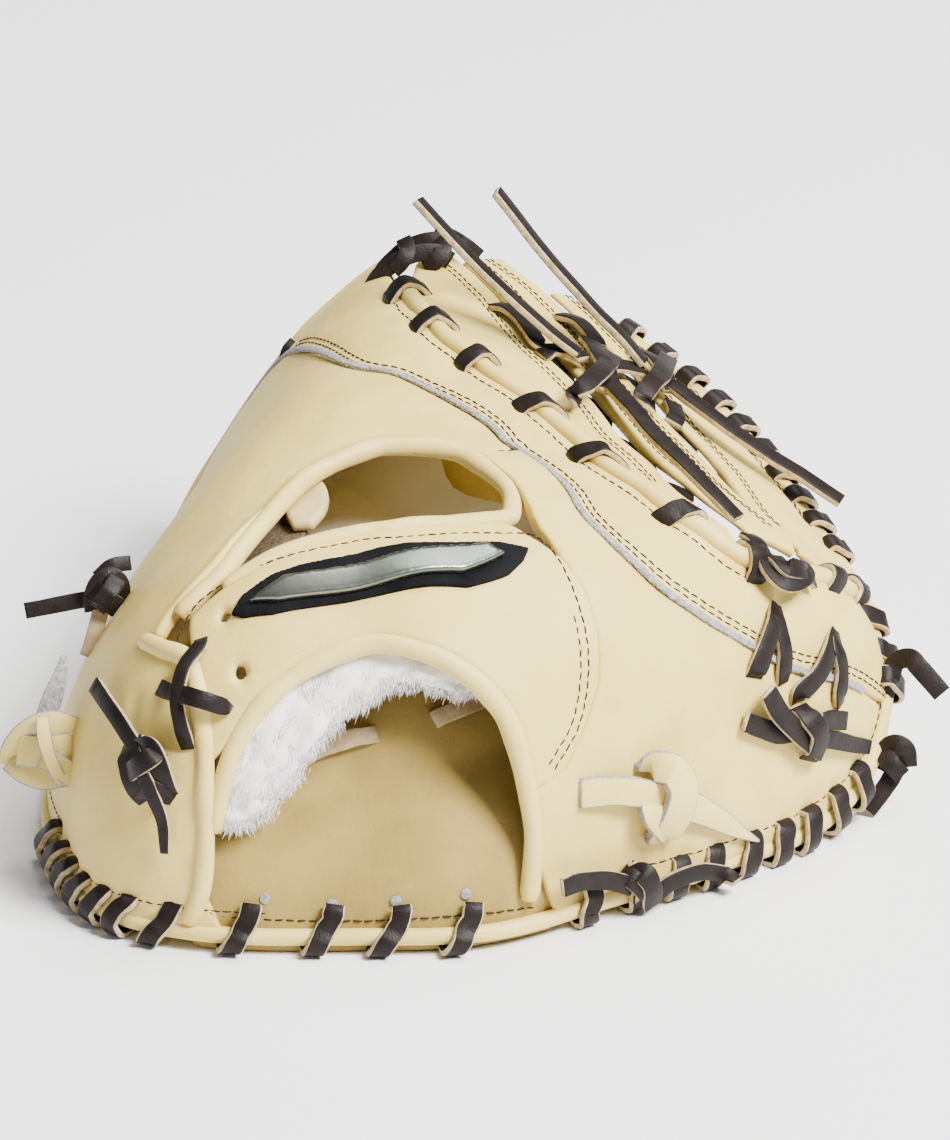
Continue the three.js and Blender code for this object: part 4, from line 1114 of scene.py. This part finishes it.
def fleece():
    """Matted wool: a soft strip with fine bent hairs on both faces and along the cut edge."""
    outline = fine(FLEECE_OUTLINE, 5)
    points, faces = sheet_mesh(outline, top=FLEECE_TOP, bottom=FLEECE_TOP - FLEECE_THICK, cell=1.2, rim=2.2,
                               relief=lambda p, c: waves(p, 15, 65) * 0.8 + waves(p, 6, 64) * 0.55)
    local = np.random.default_rng(66)
    chart = []
    low, high = outline.min(0), outline.max(0)
    while len(chart) < FLEECE_HAIRS:
        spots = local.uniform(low, high, (2000, 2))
        chart += spots[inside(spots, outline)].tolist()
    chart = np.array(chart[:FLEECE_HAIRS])
    edge = even(outline, 0.01)
    chart[::3] = edge[local.integers(0, len(edge), len(chart[::3]))] + local.normal(0, 0.25, (len(chart[::3]), 2))
    base, normal = skin(chart)
    clump = np.stack([waves(base, 7, 68 + k) for k in range(3)], 1)
    side = np.where(local.random(len(base)) < 0.7, -1, 1)[:, None]
    root = base + normal * (FLEECE_TOP - np.where(side < 0, FLEECE_THICK - 0.2, 0.3))
    lean = unit(
        local.normal(0, 0.3, (len(base), 3)) + clump * 0.8 + normal * side * 0.5 + np.array([-0.3, -0.5, -0.8]))
    bend = local.normal(0, 0.45, (len(base), 3)) + np.array([0, 0, -0.7]) - normal * side * 0.4
    size = local.uniform(1.4, 2.6, (len(base), 1))
    across = unit(np.cross(lean, local.normal(0, 1, (len(base), 3))))
    other = np.cross(lean, across)
    rings = []
    for share, wide in ((0, 0.13), (0.55, 0.1), (1, 0.02)):
        centre = root + lean * size * share + bend * share * share
        for angle in (0, 2.09, 4.19):
            rings.append(centre + (across * math.cos(angle) + other * math.sin(angle)) * wide)
    hairs = np.stack(rings, 1).reshape(-1, 3)
    corners = np.array([(r + q, r + (q + 1) % 3, r + 3 + (q + 1) % 3, r + 3 + q) for r in (0, 3) for q in range(3)])
    quads = (np.arange(len(base))[:, None, None] * 9 + corners[None] + len(points)).reshape(-1, 4)
    points = np.vstack([points, hairs])
    points[:, 2] = np.maximum(points[:, 2], 0.2)
    piece("fleece", points, [*faces, *quads.tolist()], [FLEECE], ["wrist_fleece"], "fleece")


fleece()

# A plain badge plate on black felt
FELT_OUTLINE = fine([(-21.8, 19.4), (-18.4, 22.3), (-4.4, 26.4), (-2.2, 25.2), (-5.4, 21.7), (-18.8, 18.9),
                     (-21.8, 19.4)], 2)[:-1]
PLATE_OUTLINE = np.array([(-20.2, 19.9), (-17.6, 21.6), (-5, 25.5), (-3.6, 24.9), (-6, 22.6), (-18.2, 19.7)])
sheet("felt_patch", FELT_OUTLINE, "badge_felt", FELT, "felt", top=2.5, bottom=0.6, cell=1.0, rim=0.7,
      relief=lambda points, chart: waves(points, 2.2, 67) * 0.07)
sheet("plate", PLATE_OUTLINE, "badge_plate", PLATE, "plate", top=5.4, bottom=2.6, cell=0.8, rim=1.1)

# Laces through the rows and round the rims
OVER = LACE_THICKNESS / 2 + 0.35
UNDER_BACK = -BACK_LEATHER - OVER
UNDER_WEB = -WEB_LEATHER - OVER
OVER_WELT = WELT_ROLL / 2 + 0.4 + OVER


def row_laces(name, places, steps, node, seed, jitter=0.5, leans=None):
    """The same stitch at each place; a lean slants it along the row, more the further across it goes."""
    local = np.random.default_rng(seed)
    parts = []
    reach = max(abs(a) for a, _, _ in steps)
    for k, place in enumerate(places):
        lean = leans[k] if leans else 0
        moved = [(a + local.normal(0, jitter * 0.3), off, s + lean * a / reach + local.normal(0, jitter * 0.6))
                 for a, off, s in steps]
        parts.append(lacing(place, moved, seed + k))
    lace(name, parts, node)


row_laces("near_row", [row_place(ROW, s) for s, _ in NEAR_ROW], [
    (-ROW_STEP + 1.2, UNDER_BACK, 0), (-ROW_STEP, -1, 0), (-ROW_STEP + 1.4, OVER, 0), (-2.6, OVER_WELT - 1.2, 0),
    (0, OVER_WELT, 0), (2.6, OVER_WELT - 1.2, 0), (ROW_STEP - 1.4, OVER, 0), (ROW_STEP, -1, 0),
    (ROW_STEP - 1.2, UNDER_BACK, 0),
], "near_row_lace", 71, leans=[lean for _, lean in NEAR_ROW])
row_laces("row_end_loops", [row_place(ROW, s) for s in (0.79, 0.86, 0.93)], [
    (-4.4, -2.4, -1), (-4, 0, -0.8), (-2.4, OVER_WELT - 1.4, 0), (0, OVER_WELT - 0.4, 0), (2.4, OVER_WELT - 1.4, 0.6),
    (4, 0, 1), (4.4, -2.4, 1.2),
], None, 81)
row_laces("rim_row", [rim_place(t) for t in RIM_ROW], [
    (RIM_HOLE - 1, UNDER_WEB, 0), (RIM_HOLE, -1.2, 0), (RIM_HOLE - 1.2, OVER, 0), (3, OVER + 0.2, 0),
    (0, OVER, 0), (-1.2, 0.2, 0), (-OVER, -1.6, 0), (0, UNDER_WEB, 0), (4, UNDER_WEB, 0),
], "rim_lace", 72)


def valley(name, near, far, shares, node, seed):
    """A lace under the web that zigzags between two of its bands."""
    middle = (resampled(even(fine(near), 1), 60) + resampled(even(fine(far), 1), 60)) / 2
    spots = []
    for share in shares:
        here, along, across, normal = row_place(middle, share)
        swing = across * 5 + along * 4
        spots += [(here - swing + normal * UNDER_WEB, normal), (here + swing + normal * UNDER_WEB, normal)]
    path, normals = (np.array(column) for column in zip(*spots))
    parts = []
    for i in range(len(path) - 1):
        ends = np.array([path[i], (path[i] + path[i + 1]) / 2 + normals[i] * 0.5, path[i + 1]])
        parts.append(lace_mesh(ends, normals[[i, i, i + 1]], per=4, seed=seed + i))
    lace(name, parts, node)


valley("near_valley", NEAR_BAND_FAR, MIDDLE_BAND_NEAR, (0.3, 0.44, 0.58, 0.72, 0.86), "valley_lace_near", 73)
valley("far_valley", MIDDLE_BAND_FAR, FAR_BAND_NEAR, (0.24, 0.4, 0.56, 0.72, 0.88), "valley_lace_far", 74)

BINDING_OUT = EDGE_ROLL / 2 + OVER - 0.3
BINDING_IN = -0.6
LOWEST = LACE_THICKNESS / 2 + 0.3


def wraps(name, stations, lean, node, seed):
    """Laces from the holes up the wall round the rolled rim to the palm, slanted by the lean."""
    steps = [
        (HOLE_UP - 2, BINDING_IN - 4, lean), (HOLE_UP, -1.5, lean), (HOLE_UP - 0.6, OVER, lean),
        (ROLL_UP + 3.6, BINDING_OUT - 0.6, lean * 0.5), (ROLL_UP, BINDING_OUT + 0.6, 0),
        (LOWEST + 1.4, BINDING_OUT - 0.4, 0), (LOWEST, BINDING_OUT - 2.6, 0), (LOWEST, BINDING_IN - BINDING_OUT, 0),
    ]
    row_laces(name, [rim_place(t) for t in stations], steps, node, seed, 0.6)


HEEL = (18.66, 19.3, 19.84, 20.3, 20.8)
row_laces("heel_row", [rim_place(t) for t in HEEL], [
    (15, -2.4, 5), (14, -1, 4.6), (11.5, 0.2, 3.6), (8.6, 1.6, 2), (ROLL_UP, BINDING_OUT + 0.5, 0),
    (LOWEST + 0.8, BINDING_OUT - 0.6, -2.4), (LOWEST, -2.6, -3),
], "heel_lace", 75)
wraps("thumb_edge_row", THUMB_EDGE, 3, "thumb_edge_lace", 76)
wraps("pinky_edge_row", PINKY_EDGE[:-1], 4, "pinky_edge_lace", 77)
wraps("thumb_tip_row", (5.95, 6.3, 6.65), 2, "thumb_tip_lace", 79)
# At the tip and on the finger side the laces show from the palm alone
HIDDEN_WRAP = [
    (ROLL_UP - 1.4, BINDING_OUT - 4.8, 0), (ROLL_UP - 3, BINDING_OUT - 3.2, 0), (LOWEST + 0.4, BINDING_OUT - 3.4, 0),
    (LOWEST - 0.6, BINDING_OUT - 5.4, 0), (LOWEST - 0.6, -5.6, 0), (LOWEST + 1.4, -8.5, 0), (LOWEST + 4.4, -9, 0),
]
row_laces("tip_row", [rim_place(t) for t in (11.5, 11.8, 12.1, 12.4)], HIDDEN_WRAP, "tip_lace", 80)
row_laces("finger_edge_row", [rim_place(t) for t in (12.75, 13.2, 13.65, 14.1, 14.55, 15, 15.5, 16.1)], HIDDEN_WRAP,
          "finger_edge_lace", 78)


# Knots and ties, in pixels of the photograph and millimetres off the leather (or off the depth at the anchor pixel)
def hung(places, anchor):
    """Points over pixels at the depth of the leather that shows at the anchor pixel, and normals to the camera."""
    places = np.asarray(places, float)
    depth = (at(seen([anchor])) - AIM) @ TOWARDS + places[:, 2]
    size = PIXELS_PER_MM / (1 - depth / (CAMERA_DISTANCE * 1000))
    x, y = (places[:, 0] - PHOTO_MIDDLE[0]) / size, (PHOTO_MIDDLE[1] - places[:, 1]) / size
    points = AIM + np.outer(x, RIGHT) + np.outer(y, UP)
    return points + np.outer(depth, TOWARDS), np.tile(TOWARDS, (len(places), 1))


def tied(name, node, seed, rows, anchor=None, slot="lace", materials=(LACE, LACE_EDGE), thickness=LACE_THICKNESS):
    """Strips of one knot: each row is a width, a taper and its run of places, on the leather or from an anchor."""
    parts = []
    for k, (width, taper, places) in enumerate(rows):
        points, normals = hung(places, anchor) if anchor else shown(places, 4)[1:]
        parts.append(lace_mesh(points, normals, width, thickness, 8, seed + k, taper))
    lace(name, parts, node, slot, materials)


tied("left_web_knot", "web_knot_left", 210, [
    (5.6, 1, [(494, 306, 0.2), (508, 309, 2.2), (524, 322, 2.6), (538, 342, 2.2), (546, 350, 0.5)]),
    (5.8, 1, [(541, 357, 0.4), (552, 350, 2.6), (568, 352, 3.4), (584, 360, 4.4)]),
    (6.3, 1, [(588, 340, 2.6), (597, 352, 5.6), (607, 370, 6.4), (606, 392, 4.4)]),
    (6.3, 1, [(612, 356, 4.2), (602, 370, 8.4), (586, 384, 8.4), (574, 394, 5.4), (578, 404, 2.8)]),
    (6, 1, [(604, 364, 4.4), (622, 366, 3.8), (640, 370, 3.6)]),
])
tied("right_web_knot", "web_knot_right", 220, [
    (5.8, 1, [(560, 316, 0.4), (578, 322, 2.6), (592, 336, 2.8), (598, 346, 2.4)]),
    (6.3, 1, [(641, 352, 2.6), (654, 360, 5.8), (664, 374, 6.2), (671, 392, 3.8)]),
    (6.3, 1, [(668, 358, 3.8), (662, 372, 8.0), (650, 386, 8.2), (642, 398, 5.2), (650, 408, 2.6)]),
    (6, 1, [(672, 404, 0.8), (676, 416, 1.4), (672, 424, 0.2)]),
])
tied("row_end_tie", "row_end_knot", 230, [
    (6.2, 1, [(747, 536, 0.2), (756, 542, 2.4), (763, 556, 3.6), (766, 566, 2.4)]),
    (6.6, 1, [(764, 554, 2.6), (772, 571, 4.6), (785, 581, 6.2), (799, 580, 7), (806, 571, 6.4), (798, 562, 4)]),
    (6.4, 1, [(774, 558, 4), (787, 567, 7.6), (802, 571, 7), (812, 580, 3)]),
])
tied("upper_thumb_tie", "thumb_tie_upper", 240, [
    (6.6, 0.62, [(752, 676, -0.8), (758, 668, 1.6), (766, 648, 2.8), (773, 624, 2.6), (776, 606, -0.6)]),
    (5.2, 0.8, [(782, 682, -0.8), (784, 670, 1.8), (784, 648, 2.6), (779, 622, 2.4), (775, 606, -0.6)]),
])
tied("lower_thumb_tie", "thumb_tie_lower", 250, [
    (6.8, 0.6, [(796, 700, -0.8), (802, 692, 1.8), (818, 676, 3), (829, 654, 2.8), (834, 632, -0.6)]),
    (5.2, 0.8, [(838, 706, -0.8), (840, 694, 2), (842, 670, 2.8), (838, 650, 2.6), (834, 632, -0.6)]),
])
tied("thumb_side_knot", "thumb_knot", 260, [
    (6.2, 1, [(745, 722, 2.4), (758, 727, 2), (780, 733, 2), (800, 730, 2.4)]),
    (6.6, 1, [(767, 692, 5.6), (778, 710, 5.2), (794, 728, 5.4), (812, 744, 5), (822, 750, 3.4)]),
    (7, 1, [(798, 708, 2.2), (810, 718, 6.6), (820, 734, 7.6), (816, 752, 5.4), (806, 758, 2)]),
    (5.8, 1, [(820, 722, 3), (832, 719, 2.4), (845, 720, 2)]),
    (5.6, 0.8, [(820, 738, 3.6), (836, 740, 3), (854, 744, 2.2), (868, 747, 1.8)]),
])
tied("edge_tie", "edge_knot", 270, [
    (6, 1, [(562, 888, 5.4), (580, 881, 5.6), (604, 880, 5.8), (632, 886, 5.6)]),
    (6.6, 1, [(632, 868, 2.6), (644, 874, 8), (652, 888, 9), (653, 904, 6)]),
    (6, 1, [(622, 872, 3), (634, 880, 7), (646, 892, 7.4), (642, 902, 4)]),
    (5.6, 0.9, [(656, 893, 5.6), (674, 880, 6.6), (700, 872, 6.6), (722, 874, 5.8), (737, 882, 5)]),
])
tied("strap_tie", "strap_lace", 280, [
    (4.6, 1, [(203, 640, -0.8), (199, 648, 2.2), (184, 668, 5.2), (177, 698, 6), (181, 726, 4.6), (188, 748, 0)]),
    (5.4, 1, [(161, 688, -0.6), (170, 692, 2.2), (190, 697, 8), (207, 701, 7.6), (222, 706, 3.6), (226, 708, 0)]),
])
tied("pinky_tie", "pinky_knot", 290, [
    (5.2, 1, [(95, 685, 5), (106, 702, 4.4), (120, 722, 3.6), (134, 744, 4)]),
    (8.4, 1, [(134, 742, 2.6), (130, 754, 6.4), (131, 770, 7.4), (139, 786, 6.4), (150, 797, 3)]),
    (8.2, 1, [(136, 752, 3.4), (147, 750, 7.4), (154, 762, 8.6), (160, 778, 7.4), (166, 792, 3.4)]),
    (6, 1, [(126, 776, 5), (136, 768, 10.4), (150, 758, 11), (160, 752, 7)]),
    (5.8, 1, [(136, 788, 5), (150, 790, 8), (162, 793, 6), (173, 797, 2.6)]),
    (4.4, 0.6, [(143, 774, 9.6), (152, 794, 8), (163, 822, 5), (165, 853, 4)]),
])
SIDE = (122, 600)
tied("side_tie", "side_knot", 300, [
    (5, 1, [(25, 611, 2), (48, 607, 2), (72, 602, 2), (92, 598, 3)]),
    (6, 1, [(94, 610, 3), (93, 597, 5), (99, 584, 6), (110, 577, 6), (119, 585, 5), (120, 602, 3)]),
    (6.6, 1, [(92, 590, 5), (103, 597, 9), (117, 608, 6)]),
    (5.6, 1, [(98, 608, 7), (108, 594, 10), (118, 578, 7)]),
    (4.6, 1, [(98, 578, 2), (112, 566, 3), (130, 563, 1)]),
], SIDE)
CURL = (884, 690)
tied("curled_tip", "tip_curl", 310, [
    (6, 1, [
        (884, 694, -1), (890, 678, 1), (896, 662, 3), (910, 658, 5), (920, 668, 6), (930, 680, 6), (942, 694, 6)]),
], CURL)
SMALL = (876, 770)
tied("tip_tie", "tip_knot", 320, [
    (6.2, 1, [(876, 766, 0), (884, 752, 3), (894, 744, 5), (906, 750, 5), (908, 766, 3)]),
    (6, 1, [(880, 748, 2), (890, 762, 6), (902, 776, 5)]),
    (5.6, 1, [(896, 770, 3), (888, 784, 3), (878, 798, 3), (868, 811, 3)]),
], SMALL)
TIP = (404, 268)
tied("tip_cluster", None, 330, [
    (5.4, 1, [(370, 290, -2), (379, 276, 2), (395, 262, 4), (416, 253, 4), (436, 252, 3), (450, 260, 1)]),
    (5.4, 1, [(378, 280, -3), (388, 264, -1), (407, 248, 0), (430, 240, 1), (450, 242, 0)]),
    (5, 1, [(394, 270, 4), (402, 262, 6), (408, 250, 5), (404, 240, 1)]),
    (5.4, 1, [(424, 266, 3), (436, 260, 4), (442, 248, 3), (436, 236, 0)]),
    (5, 1, [(436, 232, -3), (450, 236, 0), (464, 244, 1), (478, 256, -2)]),
    (5.6, 1, [(287, 362, -18), (290, 353, -16), (297, 344, -17)]),
], TIP)

CREAM_STRAP = [ROLL, RAW]
tied("thumb_strap_tie", "thumb_loop_strap", 340, [
    (8.8, 1, [(580, 793, 1.2), (606, 790, 2.4), (636, 792, 3.6), (664, 798, 4.2)]),
    (10, 1, [(648, 768, 0.8), (656, 766, 4), (674, 772, 7.4), (682, 792, 8.4), (676, 816, 7.4), (664, 834, 4),
             (658, 836, 1)]),
    (9, 0.85, [(650, 800, 3), (656, 816, 6), (668, 832, 3)]),
    (9, 0.12, [(684, 802, 4), (704, 812, 3), (730, 826, 2.4), (756, 840, 2)]),
], None, "cream", CREAM_STRAP, 2.8)
PINKY = (66, 744)
tied("pinky_strap_tie", "pinky_loop_strap", 350, [
    (9, 1, [(13, 764, -3), (18, 746, 2), (32, 732, 6), (54, 726, 8), (74, 734, 6), (86, 752, 0)]),
    (8.6, 1, [(14, 760, 0), (26, 770, 5), (46, 776, 7), (68, 772, 7), (88, 762, 2)]),
    (10, 1, [(20, 750, 4), (40, 752, 8), (62, 750, 9), (86, 744, 2)]),
    (7.6, 0.5, [(44, 756, 9), (64, 770, 10), (92, 788, 7), (124, 812, 4)]),
    (4.4, 1, [(42, 720, 9), (44, 738, 13), (50, 758, 13), (62, 782, 9)]),
], PINKY, "cream", CREAM_STRAP, 2.8)
tied("pinky_strap_end", None, 355, [
    (6.6, 0.3, [(44, 724, 3), (52, 700, 3), (59, 678, 3), (64, 656, 2)]),
], PINKY, "cream", [RAW, RAW], 2.2)
tied("side_tab_leather", "side_tab", 360, [
    (5.2, 0.8, [(104, 598, 2), (100, 614, 3), (94, 634, 3), (86, 656, 2)]),
], SIDE, "cream", [LINING_LACE, LINING_LACE], 2.2)

# Pale laces across the lining, and light eyelets where the heel laces go in
seen_palm = finder(palm)


def on_lining(places):
    """Points over the lining, from pixels and millimetres off it, and its normals there."""
    return shown(places, 5, seen_palm, palm, LINER_TOP)[1:]


lining_laces = joined([lace_mesh(*on_lining(places), 5.4, 1.6, 7, 370 + k) for k, places in enumerate([
    [(300, 760, 0.4), (312, 752, 1.6), (340, 742, 2.4), (366, 736, 2), (376, 734, 0)],
    [(434, 720, 0), (441, 716, 1.6), (462, 708, 2.6), (486, 698, 2), (496, 694, 0)],
])])
piece("lining_laces", *lining_laces[:2], [LINING_LACE], (), "tan")


def eyelets(name, spots, radius):
    """Pale cut rims of the holes that the heel laces go into."""
    points, faces = [], []
    run, normals = on_lining(spots)
    for spot, normal in zip(run, normals):
        right = unit(np.cross(UP, normal))
        upward = np.cross(normal, right)
        start = len(points)
        for size, lift in ((radius, -0.6), (radius, 0.3), (radius * 0.8, 0.5)):
            points += [spot + right * x + upward * y + normal * lift for x, y in circle(size, 14)]
        for ring in range(2):
            for j in range(14):
                a, b = start + ring * 14 + j, start + ring * 14 + (j + 1) % 14
                faces.append((a, b, b + 14, a + 14))
        faces.append(tuple(range(start + 28, start + 42)))
    piece(name, np.array(points), faces, [RAW], [], "raw_edge")


eyelets("heel_eyelets", [(265, 899, 0), (332, 904, 0), (396, 901, 0), (466, 894, 0)], 1.7)
HEEL_SEWN = on_lining(even([
    (196, 914), (250, 919), (310, 921), (370, 921), (430, 918), (490, 913), (535, 907)], 6) @ np.eye(2, 3))

# Thread
def sewn(panel, *keys):
    """The sewn lines of one panel, on its uneven leather."""
    lines = []
    for key in keys:
        base, normal = skin(SEWN[key])
        lines.append((base + normal * RELIEFS[panel](base, SEWN[key])[:, None], normal))
    return lines


stitches("seam_thread", sewn("upper", "seam_a", "seam_b"), off=0.1, seed=151)
stitches("web_thread", [
    *sewn("near", "near_band_a", "near_band_b"),
    *sewn("middle", "middle_near_a", "middle_near_b", "middle_far_a", "middle_far_b"),
    *sewn("far", "far_near_a", "far_near_b", "far_rim_a", "far_rim_b")], off=0.1, radius=0.21, seed=152)
stitches("edge_thread", [
    *sewn("upper", "row", "upper_rim", "tip_rim"), *sewn("thumb", "heel_edge"),
    *sewn("finger", "heel_left", "finger_foot")], off=0.1, seed=153)
stitches("strap_thread", sewn("strap", "strap", "strap_end"), off=0.6, seed=154)
stitches("heel_thread", [HEEL_SEWN], seed=156)
stitches("panel_thread", sewn("finger", "finger_branch"), off=0.1, seed=155)


# A pale table, a wide soft light above and gentle fills
def stage():
    mesh = bpy.data.meshes.new("floor")
    mesh.from_pydata([(-6, -6, 0), (6, -6, 0), (6, 6, 0), (-6, 6, 0)], [], [(0, 1, 2, 3)])
    floor = bpy.data.objects.new("floor", mesh)
    bpy.context.scene.collection.objects.link(floor)
    material = bpy.data.materials.new("floor")
    nodes, _ = nodes_of(material)
    nodes["Principled BSDF"].inputs["Base Color"].default_value = (0.9, 0.9, 0.9, 1)
    nodes["Principled BSDF"].inputs["Roughness"].default_value = 0.9
    mesh.materials.append(material)
    for name, place, size, power in (
            ("key", (1.2, -0.9, 1.8), 0.8, 195),
            ("fill", (-1.4, -0.9, 0.9), 1.2, 2),
            ("top", (0.5, 0.6, 2), 1.2, 52)):
        data = bpy.data.lights.new(name, "AREA")
        data.size = size
        data.energy = power
        light = bpy.data.objects.new(name, data)
        light.location = place
        light.rotation_euler = (Vector((0, 0, 0.05)) - Vector(place)).to_track_quat("-Z", "Y").to_euler()
        bpy.context.scene.collection.objects.link(light)
    sky = bpy.data.worlds.new("sky")
    sky.use_nodes = True
    sky.node_tree.nodes["Background"].inputs["Color"].default_value = (1, 1, 1, 1)
    sky.node_tree.nodes["Background"].inputs["Strength"].default_value = 0.27
    bpy.context.scene.world = sky


stage()
